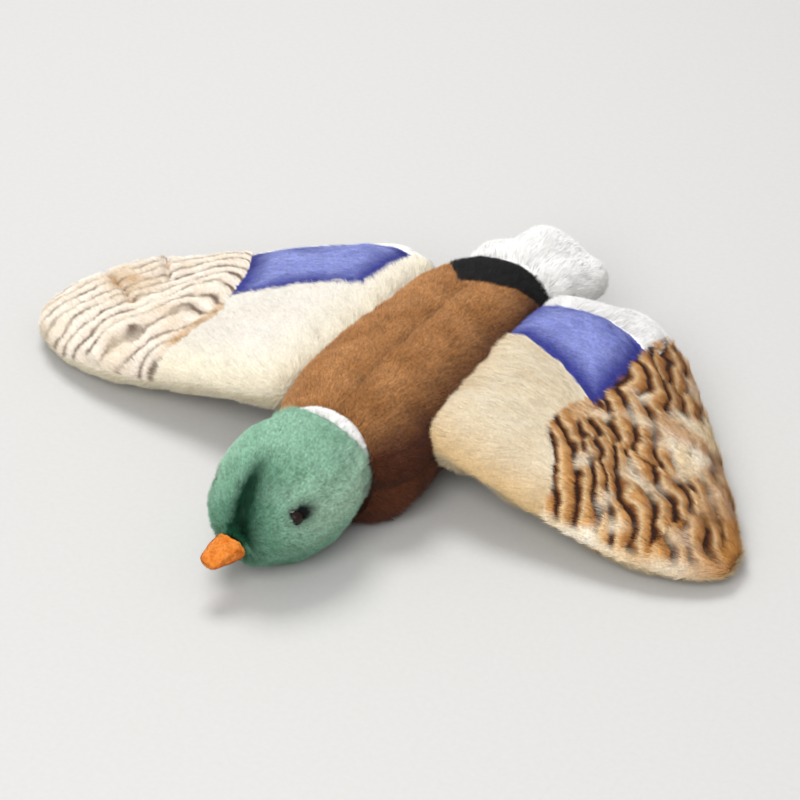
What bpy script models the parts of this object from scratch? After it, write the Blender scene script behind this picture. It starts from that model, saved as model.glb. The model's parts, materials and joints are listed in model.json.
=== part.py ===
# A plush mallard that lies on its belly with both wings spread.
#
# Sizes are metres, +Z is up. The duck lies along Y with its bill towards -Y, and its left wing reaches
# along +X. The origin is on the table under the belly. Every soft form is a filled bag: cut cloth panels,
# sewn edge to edge, round a loose filling. The wings, the tail and the neck turn about the seams that join
# them to the body.

import math

import bmesh
import bpy
import numpy as np
from mathutils import Matrix, Vector

COLLECTION_NAME = "plush_duck"
CUTTER_COLLECTION_NAME = "cutters"

# Cloth, with its pile pressed as far as a firm hand presses it
SEAM_GAP = 0.0003
TURNING_GAP = 0.0005
BODY_CLOTH = 0.006
HEAD_CLOTH = 0.004
WING_CLOTH = 0.0065
TAIL_CLOTH = 0.008
BILL_CLOTH = 0.002
FILLING_GAP = 0.0012
FILLING_MIN_HALF = 0.0005
SHARP_ANGLE = math.radians(50)

# Body
BODY_LENGTH = 0.272
BODY_FRONT_Y = -0.122
BODY_HALF_WIDTH = 0.064
BODY_HEIGHT = 0.079
BELLY_FLAT_DEPTH = 0.0005
BACK_ROUNDNESS = 2.3
BELLY_ROUNDNESS = 3.2
SIDE_SEAM_ANGLE = math.radians(86)
RUMP_LENGTH = 0.052
# Share of the length, then of the half width, the height of the back, the height of the underside, and how
# far the middle lies towards the left wing
BODY_STATION_SHARES = (
    (0.00, 0.45, 0.76, 0.150, 0.10),
    (0.05, 0.66, 0.89, 0.060, 0.13),
    (0.10, 0.82, 0.95, 0.015, 0.14),
    (0.16, 0.91, 1.00, 0.000, 0.11),
    (0.21, 0.92, 1.00, 0.000, 0.08),
    (0.29, 0.94, 1.00, 0.000, 0.04),
    (0.44, 0.95, 0.99, 0.000, 0.02),
    (0.61, 0.92, 0.98, 0.000, 0.00),
    (0.75, 0.87, 0.95, 0.000, -0.01),
    (0.86, 0.79, 0.92, 0.070, -0.04),
    (0.94, 0.68, 0.88, 0.200, 0.00),
    (1.00, 0.53, 0.82, 0.380, 0.08),
)
BODY_ROW_SHARES = (0.0, 0.06, 0.11, 0.17, 0.24, 0.33, 0.43, 0.54, 0.65, 0.75)
RUMP_ROW_SHARES = (0.89, 0.95, 1.0)
BACK_COLUMN_SHARES = (0.18, 0.38, 0.60, 0.81)
BELLY_COLUMN_SHARES = (0.30, 0.60, 0.86, 1.0)

# Neck and head: a ball that sits in the hollow front of the body, a little towards the left wing
NECK_SIDE_SHIFT = 0.0035
NECK_BEFORE_BODY = 0.015
NECK_HEIGHT_SHARE = 0.601
NECK_POINT = Vector((NECK_SIDE_SHIFT, BODY_FRONT_Y - NECK_BEFORE_BODY, BODY_HEIGHT * NECK_HEIGHT_SHARE))
HEAD_BALL_RADIUS = 0.0420
HEAD_LENGTH_FRONT = 0.069
CHEEK_SWELL_SHARE = 0.13
FACE_NARROWED_SHARE = 0.10
HEAD_TURNED = math.radians(-5)
HEAD_DROOP = math.radians(9)
HEAD_ROW_ANGLES = tuple(math.radians(a) for a in (3, 15, 29, 45, 61, 76, 90, 105, 121, 138, 156, 174))
HEAD_COLUMN_ANGLES = tuple(math.radians(a) for a in (8, 18, 34, 56, 78, 100, 122, 146, 166))
CREASE_DEPTH_SHARE = 0.055
CREASE_WIDTH = math.radians(11)
RING_THICK = 0.0065
RING_HALF_ANGLE = math.radians(9)
RING_OPENING = math.radians(43)
RING_TIPPED = math.radians(-8)
RING_ROUNDING_SHARE = 0.45
RING_SEGMENTS = 32
NECK_FILLING_STEPS = 4
NECK_FILLING_SEGMENTS = 16

# Eyes: a domed button on a stem, held by a washer behind the cloth
EYE_RADIUS = 0.0048
EYE_DOME = 0.0034
EYE_SUNK = 0.0015
EYE_CLAMPED_CLOTH = 0.0022
EYE_STEM_RADIUS = 0.0018
EYE_STEM_LENGTH = 0.0080
WASHER_RADIUS = 0.0070
WASHER_THICK = 0.0014
STEM_CLEARANCE = 0.0003
EYE_SEGMENTS = 20
EYE_DOME_ANGLES = tuple(math.radians(a) for a in (0, 25, 48, 70))
EYE_DIRECTION_SHARES = Vector((0.77, -0.60, 0.28))

# Bill, sewn over the seam of the face
BILL_LENGTH = 0.022
BILL_HALF_WIDTH = 0.0112
BILL_HALF_HEIGHT = 0.0092
BILL_BURIED = 0.010
BILL_TURNED = math.radians(-11)
BILL_DROOP = math.radians(3)
BILL_BELOW_HEAD_AXIS = 0.003
# Share of the whole length with the buried root, then of the half width and of the half height
BILL_STATION_SHARES = (
    (0.00, 1.00, 1.00),
    (0.30, 1.00, 1.00),
    (0.50, 0.94, 0.84),
    (0.68, 0.86, 0.62),
    (0.84, 0.82, 0.45),
    (0.94, 0.66, 0.36),
    (1.00, 0.34, 0.24),
)
BILL_ROUNDNESS = 2.2
BILL_COLUMNS = 6
BILL_CLOTH_MOST_SHARE = 0.6

# Wings, whose hinges lie just outside the body's widest place
WING_HINGE_BESIDE_BODY = 0.002
WING_HINGE_ALONG_SHARE = 0.5515
WING_HINGE_HEIGHT_SHARE = 0.595
WING_HINGE = Vector(
    (
        BODY_HALF_WIDTH + WING_HINGE_BESIDE_BODY,
        BODY_FRONT_Y + BODY_LENGTH * WING_HINGE_ALONG_SHARE,
        BODY_HEIGHT * WING_HINGE_HEIGHT_SHARE,
    )
)
WING_HINGE_LEAN = math.radians(3)
WING_ROOT_CHORD = 0.205
WING_ROOT_BACK_SHIFT = 0.0110
WING_HALF_THICK = 0.022
LEFT_WING_REACH = 0.2005
RIGHT_WING_REACH = 0.2310
WING_EDGE_HALF = 0.0025
WING_FRONT_ROUNDNESS = 5.0
WING_REAR_ROUNDNESS = 3.0
WING_FULLNESS = 2.2
# Share of the reach, then of the root chord: front edge of each wing, rear edge of each wing
WING_OUTLINE_SHARES = (
    (0.00, -0.510, 0.490, -0.510, 0.490),
    (0.10, -0.535, 0.535, -0.530, 0.530),
    (0.25, -0.555, 0.555, -0.525, 0.500),
    (0.41, -0.565, 0.485, -0.535, 0.435),
    (0.55, -0.575, 0.315, -0.530, 0.355),
    (0.70, -0.575, 0.125, -0.510, 0.270),
    (0.84, -0.550, -0.085, -0.455, 0.180),
    (0.94, -0.515, -0.240, -0.370, 0.060),
    (1.00, -0.466, -0.349, -0.240, -0.085),
)
# Share of the reach, then the height of the middle as a share of the hinge's, and of the half thickness
WING_HEIGHT_SHARES = (
    (0.00, 1.00, 1.00),
    (0.10, 0.96, 1.01),
    (0.25, 0.81, 1.06),
    (0.41, 0.62, 1.03),
    (0.55, 0.48, 0.90),
    (0.70, 0.37, 0.69),
    (0.84, 0.30, 0.53),
    (0.94, 0.25, 0.39),
    (1.00, 0.22, 0.16),
)
WING_ROW_SHARES = (0.09, 0.18, 0.27)
WING_BORDER_SHARE = 0.37
# How much further out the border's rear end lies than its front end, and how far that draws rows beside it
LEFT_BORDER_SLANT_SHARE = 0.0
RIGHT_BORDER_SLANT_SHARE = 0.21
BORDER_PULL_SHARES = (
    (0.18, 0.0),
    (0.27, 0.6),
    (WING_BORDER_SHARE, 1.0),
    (0.45, 0.85),
    (0.55, 0.62),
    (0.65, 0.40),
    (0.75, 0.18),
    (0.84, 0.0),
)
WING_TIP_ROW_SHARES = (0.45, 0.55, 0.65, 0.75, 0.84, 0.92, 0.97, 1.0)
# Where the blue patch starts and ends across the chord, at the root and at the border with the tip
BLUE_FRONT_SHARES = (0.61, 0.43)
LEFT_BLUE_REAR_SHARES = (0.875, 0.81)
RIGHT_BLUE_REAR_SHARES = (0.93, 0.90)
FRONT_COLUMN_SHARES = (0.0, 0.06, 0.17, 0.36, 0.66, 1.0)
BLUE_COLUMN_SHARES = (0.0, 0.33, 0.67, 1.0)
EDGE_COLUMN_SHARES = (0.0, 0.45, 0.80, 1.0)
LINING_COLUMN_SHARES = (0.0, 0.04, 0.12, 0.27, 0.5, 0.73, 0.88, 0.96, 1.0)
ROOT_ROW_ANGLES = tuple(math.radians(a) for a in (0, 32, 62, 90))
# How far round the root the blue patch starts
LEFT_BLUE_ROOT_ANGLE = math.radians(25)
RIGHT_BLUE_ROOT_ANGLE = math.radians(88)
FILLING_ROW_SHARES = (0.09, 0.18, 0.27, 0.36, 0.45, 0.55, 0.65, 0.75, 0.84)
FILLING_COLUMNS = 7

# Tail, as round at its edges as the rear of the wings
TAIL_SIDE_SHIFT = 0.009
TAIL_HINGE_BEHIND_BODY = 0.001
TAIL_HINGE_HEIGHT_SHARE = 0.582
TAIL_HINGE = Vector(
    (
        TAIL_SIDE_SHIFT,
        BODY_FRONT_Y + BODY_LENGTH + TAIL_HINGE_BEHIND_BODY,
        BODY_HEIGHT * TAIL_HINGE_HEIGHT_SHARE,
    )
)
TAIL_REACH = 0.065
TAIL_ROOT_WIDTH = 0.082
TAIL_HALF_THICK = 0.019
TAIL_EDGE_HALF = 0.0030
TAIL_OUTLINE_SHARES = (
    (0.00, -0.500, 0.500, -0.500, 0.500),
    (0.20, -0.530, 0.570, -0.530, 0.570),
    (0.45, -0.510, 0.590, -0.510, 0.590),
    (0.70, -0.440, 0.500, -0.440, 0.500),
    (0.90, -0.300, 0.310, -0.300, 0.310),
    (1.00, -0.130, 0.110, -0.130, 0.110),
)
TAIL_HEIGHT_SHARES = (
    (0.00, 1.00, 1.00),
    (0.14, 1.00, 1.00),
    (0.35, 0.99, 1.06),
    (0.55, 0.95, 1.05),
    (0.78, 0.88, 0.90),
    (0.93, 0.80, 0.62),
    (1.00, 0.76, 0.25),
)
TAIL_ROW_SHARES = (0.0, 0.16, 0.34, 0.52, 0.70, 0.85, 0.95, 1.0)
TAIL_FILLING_ROW_SHARES = (0.16, 0.34, 0.52, 0.70, 0.83)
TAIL_COLUMN_SHARES = (0.0, 0.05, 0.16, 0.33, 0.5, 0.67, 0.84, 0.95, 1.0)

SOCKET_SEGMENTS = 32
ROOT_SEGMENTS = 24
CUTTER_OVERRUN = 0.020
FLOOR_CUTTER_DEPTH = 0.030
MERGE_DISTANCE = 0.00001
EMPTY_SIZE = 0.02

# Colour, roughness
FINISHES = {
    "brown_plush": ((0.205, 0.085, 0.030), 0.95),
    "dark_brown_plush": ((0.100, 0.036, 0.016), 0.95),
    "black_plush": ((0.012, 0.011, 0.013), 0.95),
    "white_plush": ((0.870, 0.860, 0.840), 0.95),
    "green_plush": ((0.085, 0.290, 0.190), 0.90),
    "cream_plush": ((0.720, 0.610, 0.430), 0.95),
    "blue_plush": ((0.110, 0.130, 0.560), 0.90),
    "striped_plush": ((0.450, 0.270, 0.110), 0.95),
    "orange_cloth": ((0.800, 0.260, 0.030), 0.90),
    "eye_plastic": ((0.016, 0.007, 0.004), 0.12),
    "washer_plastic": ((0.780, 0.780, 0.740), 0.40),
    "filling": ((0.850, 0.850, 0.830), 1.00),
}


def clear_scene():
    for thing in list(bpy.data.objects):
        bpy.data.objects.remove(thing, do_unlink=True)


def new_collection(name):
    collection = bpy.data.collections.get(name) or bpy.data.collections.new(name)
    if collection.name not in bpy.context.scene.collection.children:
        bpy.context.scene.collection.children.link(collection)
    return collection


def finish(name):
    material = bpy.data.materials.get(name)
    if material:
        return material
    colour, roughness = FINISHES[name]
    material = bpy.data.materials.new(name)
    material.use_nodes = True
    shader = material.node_tree.nodes["Principled BSDF"]
    shader.inputs["Base Color"].default_value = (*colour, 1.0)
    shader.inputs["Roughness"].default_value = roughness
    shader.inputs["Metallic"].default_value = 0.0
    return material


def add_pivot(name, point, collection):
    """Empty on a joint's axis, for the pieces that turn about it."""
    pivot = bpy.data.objects.new(name, None)
    pivot.location = point
    pivot.empty_display_size = EMPTY_SIZE
    collection.objects.link(pivot)
    return pivot


def add_object(name, mesh, collection, material_name=None, pivot=None):
    """Links a mesh whose points are in world places, under its pivot if it has one."""
    thing = bpy.data.objects.new(name, mesh)
    collection.objects.link(thing)
    if material_name:
        mesh.materials.append(finish(material_name))
    if pivot:
        mesh.transform(Matrix.Translation(-pivot.location))
        thing.parent = pivot
    return thing


def add_turned(name, profile, segments, frame, collection, material_name=None, pivot=None, ring=False):
    """Profile of (radius, height), down its outer side, turned about a frame's Z; a ring's is closed."""
    edges = [(k, k + 1) for k in range(len(profile) - 1)]
    if ring:
        edges.append((len(profile) - 1, 0))
    data = bpy.data.meshes.new(name)
    data.from_pydata([(radius, 0, height) for radius, height in profile], edges, [])
    thing = bpy.data.objects.new(name, data)
    collection.objects.link(thing)
    if material_name:
        data.materials.append(finish(material_name))
    if pivot:
        thing.parent = pivot
        thing.matrix_local = Matrix.Translation(-pivot.location) @ frame
    else:
        thing.matrix_world = frame
    turn = thing.modifiers.new("turned", "SCREW")
    turn.axis = "Z"
    turn.steps = segments
    turn.render_steps = segments
    turn.use_merge_vertices = True
    turn.merge_threshold = MERGE_DISTANCE
    turn.use_smooth_shade = True
    return thing


def table_value(share, table, column):
    """Smooth curve through one column of a table whose first column is the share along the piece."""
    xs = [row[0] for row in table]
    ys = [row[column] for row in table]
    last = len(xs) - 1
    k = min(max(int(np.searchsorted(xs, share, side="right")) - 1, 0), last - 1)

    def slope(i):
        if i == 0 or i == last:
            a, b = (0, 1) if i == 0 else (last - 1, last)
            return (ys[b] - ys[a]) / (xs[b] - xs[a])
        return (ys[i + 1] - ys[i - 1]) / (xs[i + 1] - xs[i - 1])

    step = xs[k + 1] - xs[k]
    t = (share - xs[k]) / step
    return (
        ys[k] * (2 * t**3 - 3 * t**2 + 1)
        + slope(k) * step * (t**3 - 2 * t**2 + t)
        + ys[k + 1] * (3 * t**2 - 2 * t**3)
        + slope(k + 1) * step * (t**3 - t**2)
    )


def signed_power(value, power):
    return math.copysign(abs(value) ** power, value)


def sewn_panel(name, outer, inner, cells, wraps=False):
    """Closed solid between two grids of points, over the cells that belong to the panel."""
    rows = len(outer)
    columns = len(outer[0])
    mesh = bmesh.new()
    corners = {}

    def corner(layer, i, j):
        j = j % columns if wraps else j
        key = (layer, i, j)
        if key not in corners:
            corners[key] = mesh.verts.new((outer if layer else inner)[i][j])
        return corners[key]

    def covered(i, j):
        if not 0 <= i < rows - 1:
            return False
        if wraps:
            j %= columns
        elif not 0 <= j < columns - 1:
            return False
        return cells(i, j)

    for i in range(rows - 1):
        for j in range(columns if wraps else columns - 1):
            if not cells(i, j):
                continue
            ring = ((i, j), (i, j + 1), (i + 1, j + 1), (i + 1, j))
            mesh.faces.new([corner(1, *p) for p in ring])
            mesh.faces.new([corner(0, *p) for p in reversed(ring)])
            neighbours = ((i - 1, j), (i, j + 1), (i + 1, j), (i, j - 1))
            for k, beside in enumerate(neighbours):
                if not covered(*beside):
                    a, b = ring[k], ring[(k + 1) % 4]
                    mesh.faces.new([corner(1, *b), corner(1, *a), corner(0, *a), corner(0, *b)])
    return closed_mesh(name, mesh)


def lofted_solid(name, rings):
    """Closed solid through rings with the same number of points, flat at both ends."""
    mesh = bmesh.new()
    loops = [[mesh.verts.new(point) for point in ring] for ring in rings]
    count = len(loops[0])
    for low, high in zip(loops, loops[1:]):
        for k in range(count):
            after = (k + 1) % count
            mesh.faces.new((low[k], low[after], high[after], high[k]))
    mesh.faces.new(list(reversed(loops[0])))
    mesh.faces.new(loops[-1])
    return closed_mesh(name, mesh)


def closed_mesh(name, mesh):
    bmesh.ops.recalc_face_normals(mesh, faces=mesh.faces)
    data = bpy.data.meshes.new(name)
    mesh.to_mesh(data)
    mesh.free()
    data.shade_smooth()
    data.set_sharp_from_angle(angle=SHARP_ANGLE)
    return data


def frame_from_axis(point, axis, side=Vector((1, 0, 0))):
    """Matrix that takes Z to the axis and the origin to the point."""
    up = axis.normalized()
    across = (side - up * side.dot(up)).normalized()
    along = up.cross(across)
    turn = Matrix((across, along, up)).transposed().to_4x4()
    return Matrix.Translation(point) @ turn


def cut(thing, cutter):
    modifier = thing.modifiers.new("cut_" + cutter.name, "BOOLEAN")
    modifier.operation = "DIFFERENCE"
    modifier.solver = "EXACT"
    modifier.object = cutter


def hide_cutter(thing):
    thing.hide_render = True
    thing.display_type = "WIRE"
    return thing


# Body


def body_section(share, under):
    """Half width, middle height and the two half heights of the body, with the cloth taken off by under."""
    half_width = BODY_HALF_WIDTH * table_value(share, BODY_STATION_SHARES, 1)
    top = BODY_HEIGHT * table_value(share, BODY_STATION_SHARES, 2)
    foot = BODY_HEIGHT * max(table_value(share, BODY_STATION_SHARES, 3), 0) - BELLY_FLAT_DEPTH
    middle = (top + foot) / 2
    return half_width - under, middle, top - middle - under, middle - foot - under


def body_point(share, angle, shift, under):
    """Point of the body's skin; angle runs from the back seam round +X, shift is a length along it."""
    half_width, middle, half_top, half_foot = body_section(share, under)
    angle += shift / (half_width + under)
    roundness = BACK_ROUNDNESS if math.cos(angle) > 0 else BELLY_ROUNDNESS
    half_height = half_top if math.cos(angle) > 0 else half_foot
    x = half_width * signed_power(math.sin(angle), 2 / roundness)
    x += BODY_HALF_WIDTH * table_value(share, BODY_STATION_SHARES, 4)
    z = middle + half_height * signed_power(math.cos(angle), 2 / roundness)
    return Vector((x, BODY_FRONT_Y + BODY_LENGTH * share, z))


def body_columns():
    """Angles and seam shifts of the lines along the body, once round from the back seam."""
    half = [(0.0, SEAM_GAP / 2)]
    half += [(SIDE_SEAM_ANGLE * s, 0.0) for s in BACK_COLUMN_SHARES]
    half += [(SIDE_SEAM_ANGLE, -SEAM_GAP / 2), (SIDE_SEAM_ANGLE, SEAM_GAP / 2)]
    half += [(SIDE_SEAM_ANGLE + (math.pi - SIDE_SEAM_ANGLE) * s, 0.0) for s in BELLY_COLUMN_SHARES]
    other = [(-angle, -shift) for angle, shift in reversed(half[:-1])]
    return half + other


def body_rows():
    rump = 1 - RUMP_LENGTH / BODY_LENGTH
    half_gap = SEAM_GAP / 2 / BODY_LENGTH
    return list(BODY_ROW_SHARES) + [rump - half_gap, rump + half_gap] + list(RUMP_ROW_SHARES)


def build_body(collection, cutters):
    rows = body_rows()
    columns = body_columns()
    outer = [[body_point(s, a, shift, 0) for a, shift in columns] for s in rows]
    inner = [[body_point(s, a, shift, BODY_CLOTH) for a, shift in columns] for s in rows]
    back_last = len(BACK_COLUMN_SHARES)
    belly_first = back_last + 2
    last_column = len(columns) - 1
    belly_end = last_column - belly_first
    right_first = last_column - 1 - back_last
    rump_row = len(BODY_ROW_SHARES)

    def is_belly(i, j):
        return belly_first <= j < belly_end

    def is_left_back(i, j):
        return j <= back_last and i < rump_row

    def is_right_back(i, j):
        return right_first <= j < last_column and i < rump_row

    def is_rump(i, j):
        return i > rump_row and (j <= back_last or j >= right_first)

    panels = (
        ("left_back_panel", is_left_back, "brown_plush"),
        ("right_back_panel", is_right_back, "brown_plush"),
        ("belly_panel", is_belly, "dark_brown_plush"),
        ("rump_patch", is_rump, "black_plush"),
    )
    pieces = []
    for name, cells, material in panels:
        data = sewn_panel(name, outer, inner, cells, wraps=True)
        pieces.append(add_object(name, data, collection, material))
    under = BODY_CLOTH + FILLING_GAP
    filling_rows = [s for k, s in enumerate(rows) if k != rump_row]
    filling_angles = [a for a, shift in columns if shift <= 0]
    rings = [[body_point(s, a, 0, under) for a in filling_angles] for s in filling_rows]
    data = lofted_solid("body_filling", rings)
    pieces.append(add_object("body_filling", data, collection, "filling"))
    for piece in pieces:
        for cutter in cutters:
            cut(piece, cutter)
    return pieces


# Head, neck, eyes and bill


def head_turn():
    return Matrix.Rotation(HEAD_TURNED, 3, "Z") @ Matrix.Rotation(HEAD_DROOP, 3, "X")


def head_point(row_angle, column_angle, shift, under):
    """Point of the head's skin; rows run from the face to the nape, columns from the crown round +X."""
    radius = HEAD_BALL_RADIUS - under
    length = (HEAD_LENGTH_FRONT if math.cos(row_angle) > 0 else HEAD_BALL_RADIUS) - under
    cheek = 1 + CHEEK_SWELL_SHARE * max(math.sin(2 * row_angle), 0)
    around = radius * math.sin(row_angle) * cheek
    column_angle += shift / max(around, SEAM_GAP)
    from_crown = min(column_angle, 2 * math.pi - column_angle)
    on_face = math.sqrt(max(math.cos(row_angle), 0))
    crease = CREASE_DEPTH_SHARE * on_face * math.exp(-((from_crown / CREASE_WIDTH) ** 2))
    around *= 1 - crease
    side = around * math.sin(column_angle) * (1 - FACE_NARROWED_SHARE * on_face)
    height = around * math.cos(column_angle)
    return NECK_POINT + head_turn() @ Vector((side, -length * math.cos(row_angle), height))


def build_head(collection, pivot, cutters):
    """Two panels sewn along the middle of the face, round a filling with room for what holds the eyes."""
    left_half = [(0.0, SEAM_GAP / 2)] + [(a, 0.0) for a in HEAD_COLUMN_ANGLES] + [(math.pi, -SEAM_GAP / 2)]
    right_half = [(2 * math.pi - a, -shift) for a, shift in left_half]
    pieces = []
    for name, columns in (("left_head_panel", left_half), ("right_head_panel", right_half)):
        outer = [[head_point(r, a, shift, 0) for a, shift in columns] for r in HEAD_ROW_ANGLES]
        inner = [[head_point(r, a, shift, HEAD_CLOTH) for a, shift in columns] for r in HEAD_ROW_ANGLES]
        data = sewn_panel(name, outer, inner, lambda i, j: True)
        pieces.append(add_object(name, data, collection, "green_plush", pivot))
    under = HEAD_CLOTH + FILLING_GAP
    angles = head_ring_angles()
    filling_rows = HEAD_ROW_ANGLES[::2] + HEAD_ROW_ANGLES[-1:]
    rings = [[head_point(r, a, 0, under) for a in angles] for r in filling_rows]
    data = lofted_solid("head_filling", rings)
    pieces.append(add_object("head_filling", data, collection, "filling", pivot))
    for piece in pieces:
        for cutter in cutters:
            cut(piece, cutter)


def head_ring_angles():
    half = (0.0,) + HEAD_COLUMN_ANGLES + (math.pi,)
    return half + tuple(2 * math.pi - angle for angle in reversed(half[1:-1]))


def build_neck(collection, pivot):
    """Stuffed white band between the ball of the head and the hollow of the body, with its filling."""
    inside = HEAD_BALL_RADIUS + TURNING_GAP
    outside = inside + RING_THICK
    shoulder = inside + RING_THICK * RING_ROUNDING_SHARE
    start, end = RING_OPENING - RING_HALF_ANGLE, RING_OPENING + RING_HALF_ANGLE
    rounding = RING_HALF_ANGLE * RING_ROUNDING_SHARE
    polar = [(shoulder, start), (outside, start + rounding), (outside, RING_OPENING)]
    polar += [(outside, end - rounding), (shoulder, end)]
    polar += [(inside, end), (inside, RING_OPENING), (inside, start)]
    profile = [(rho * math.sin(angle), rho * math.cos(angle)) for rho, angle in polar]
    axis = Vector((0, math.cos(RING_TIPPED), math.sin(RING_TIPPED)))
    frame = frame_from_axis(NECK_POINT, axis)
    add_turned("neck_ring", profile, RING_SEGMENTS, frame, collection, "white_plush", pivot, ring=True)
    edge = start - FILLING_GAP / inside
    angles = [edge * k / NECK_FILLING_STEPS for k in range(NECK_FILLING_STEPS + 1)]
    polar = [(outside, angle) for angle in angles] + [(inside, angle) for angle in reversed(angles)]
    profile = [(rho * math.sin(angle), rho * math.cos(angle)) for rho, angle in polar]
    add_turned("neck_filling", profile, NECK_FILLING_SEGMENTS, frame, collection, "filling", pivot)


def eye_places():
    """Side, point on the cloth and outward direction of each eye."""
    shares = EYE_DIRECTION_SHARES.normalized()
    around = HEAD_BALL_RADIUS * (1 + CHEEK_SWELL_SHARE * math.sin(2 * math.acos(-shares.y)))
    narrowed = 1 - FACE_NARROWED_SHARE * math.sqrt(-shares.y)
    sizes = Vector((around * narrowed, HEAD_LENGTH_FRONT, around))
    places = []
    for name, side in (("left", 1), ("right", -1)):
        point = Vector((side * shares.x * sizes.x, shares.y * sizes.y, shares.z * sizes.z))
        outward = Vector((point.x / sizes.x**2, point.y / sizes.y**2, point.z / sizes.z**2)).normalized()
        places.append((name, NECK_POINT + head_turn() @ point, head_turn() @ outward))
    return places


def build_eyes(collection, pivot):
    for side, point, outward in eye_places():
        frame = frame_from_axis(point - outward * (EYE_SUNK - SEAM_GAP), outward, Vector((0, 0, 1)))
        profile = [(EYE_RADIUS * math.sin(a), EYE_DOME * math.cos(a)) for a in EYE_DOME_ANGLES]
        profile += [(EYE_RADIUS, 0), (EYE_STEM_RADIUS, 0), (EYE_STEM_RADIUS, -EYE_STEM_LENGTH)]
        profile += [(0, -EYE_STEM_LENGTH)]
        add_turned(side + "_eye", profile, EYE_SEGMENTS, frame, collection, "eye_plastic", pivot)
        hole = EYE_STEM_RADIUS + STEM_CLEARANCE
        top = -(EYE_CLAMPED_CLOTH + 2 * SEAM_GAP)
        foot = top - WASHER_THICK
        profile = [(WASHER_RADIUS, top), (WASHER_RADIUS, foot), (hole, foot), (hole, top)]
        name = side + "_eye_washer"
        add_turned(name, profile, EYE_SEGMENTS, frame, collection, "washer_plastic", pivot, ring=True)


def eye_cutters(collection):
    """The dimple of each eye, the hole for its stem, and the room behind the cloth for its washer."""
    cutters = []
    for side, point, outward in eye_places():
        frame = frame_from_axis(point, outward, Vector((0, 0, 1)))
        dimple = EYE_RADIUS + STEM_CLEARANCE
        hole = EYE_STEM_RADIUS + STEM_CLEARANCE
        room = WASHER_RADIUS + STEM_CLEARANCE
        clamped = -(EYE_SUNK + EYE_CLAMPED_CLOTH)
        back = clamped - WASHER_THICK - 2 * SEAM_GAP
        end = -(EYE_SUNK + EYE_STEM_LENGTH)
        profile = [(0, CUTTER_OVERRUN), (dimple, CUTTER_OVERRUN), (dimple, -EYE_SUNK), (hole, -EYE_SUNK)]
        profile += [(hole, clamped), (room, clamped), (room, back), (hole, back), (hole, end), (0, end)]
        name = side + "_eye_cutter"
        cutters.append(hide_cutter(add_turned(name, profile, EYE_SEGMENTS, frame, collection)))
    return cutters


def bill_frame():
    turn = Matrix.Rotation(HEAD_TURNED + BILL_TURNED, 3, "Z")
    turn = turn @ Matrix.Rotation(HEAD_DROOP + BILL_DROOP, 3, "X")
    face = Vector((0, -(HEAD_LENGTH_FRONT - BILL_BURIED), -BILL_BELOW_HEAD_AXIS))
    root = NECK_POINT + head_turn() @ face
    return Matrix.Translation(root) @ turn.to_4x4()


def bill_point(share, angle, shift, under):
    """Point of the bill; angle runs round from +X over the top, the bill reaches along its frame's -Y."""
    half_width = BILL_HALF_WIDTH * table_value(share, BILL_STATION_SHARES, 1)
    half_height = BILL_HALF_HEIGHT * table_value(share, BILL_STATION_SHARES, 2)
    taken = min(under, BILL_CLOTH_MOST_SHARE * min(half_width, half_height))
    half_width -= taken
    half_height -= taken
    x = half_width * signed_power(math.cos(angle), 2 / BILL_ROUNDNESS)
    z = half_height * signed_power(math.sin(angle), 2 / BILL_ROUNDNESS) + shift
    reach = (BILL_LENGTH + BILL_BURIED - taken) * share
    return bill_frame() @ Vector((x, -reach, z))


def build_bill(collection, pivot, cutter):
    shares = [row[0] for row in BILL_STATION_SHARES]
    pieces = []
    for name, side in (("upper_bill", 1), ("lower_bill", -1)):
        angles = [side * math.pi * k / BILL_COLUMNS for k in range(BILL_COLUMNS + 1)]
        outer = [[bill_point(s, a, side * SEAM_GAP / 2, 0) for a in angles] for s in shares]
        inner = [[bill_point(s, a, side * SEAM_GAP / 2, BILL_CLOTH) for a in angles] for s in shares]
        data = sewn_panel(name, outer, inner, lambda i, j: True)
        pieces.append(add_object(name, data, collection, "orange_cloth", pivot))
    angles = [math.pi * k / BILL_COLUMNS for k in range(2 * BILL_COLUMNS)]
    under = BILL_CLOTH + FILLING_GAP
    rings = [[bill_point(s, a, 0, under) for a in angles] for s in shares[:-2]]
    data = lofted_solid("bill_filling", rings)
    pieces.append(add_object("bill_filling", data, collection, "filling", pivot))
    for piece in pieces:
        cut(piece, cutter)


def head_cutter(collection):
    """The whole head, grown by the gap that the bill keeps to it."""
    rings = [[head_point(r, a, 0, -SEAM_GAP) for a in head_ring_angles()] for r in HEAD_ROW_ANGLES]
    return hide_cutter(add_object("head_cutter", lofted_solid("head_cutter", rings), collection))


# Wings and tail: flat bags whose root is round about the hinge


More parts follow.
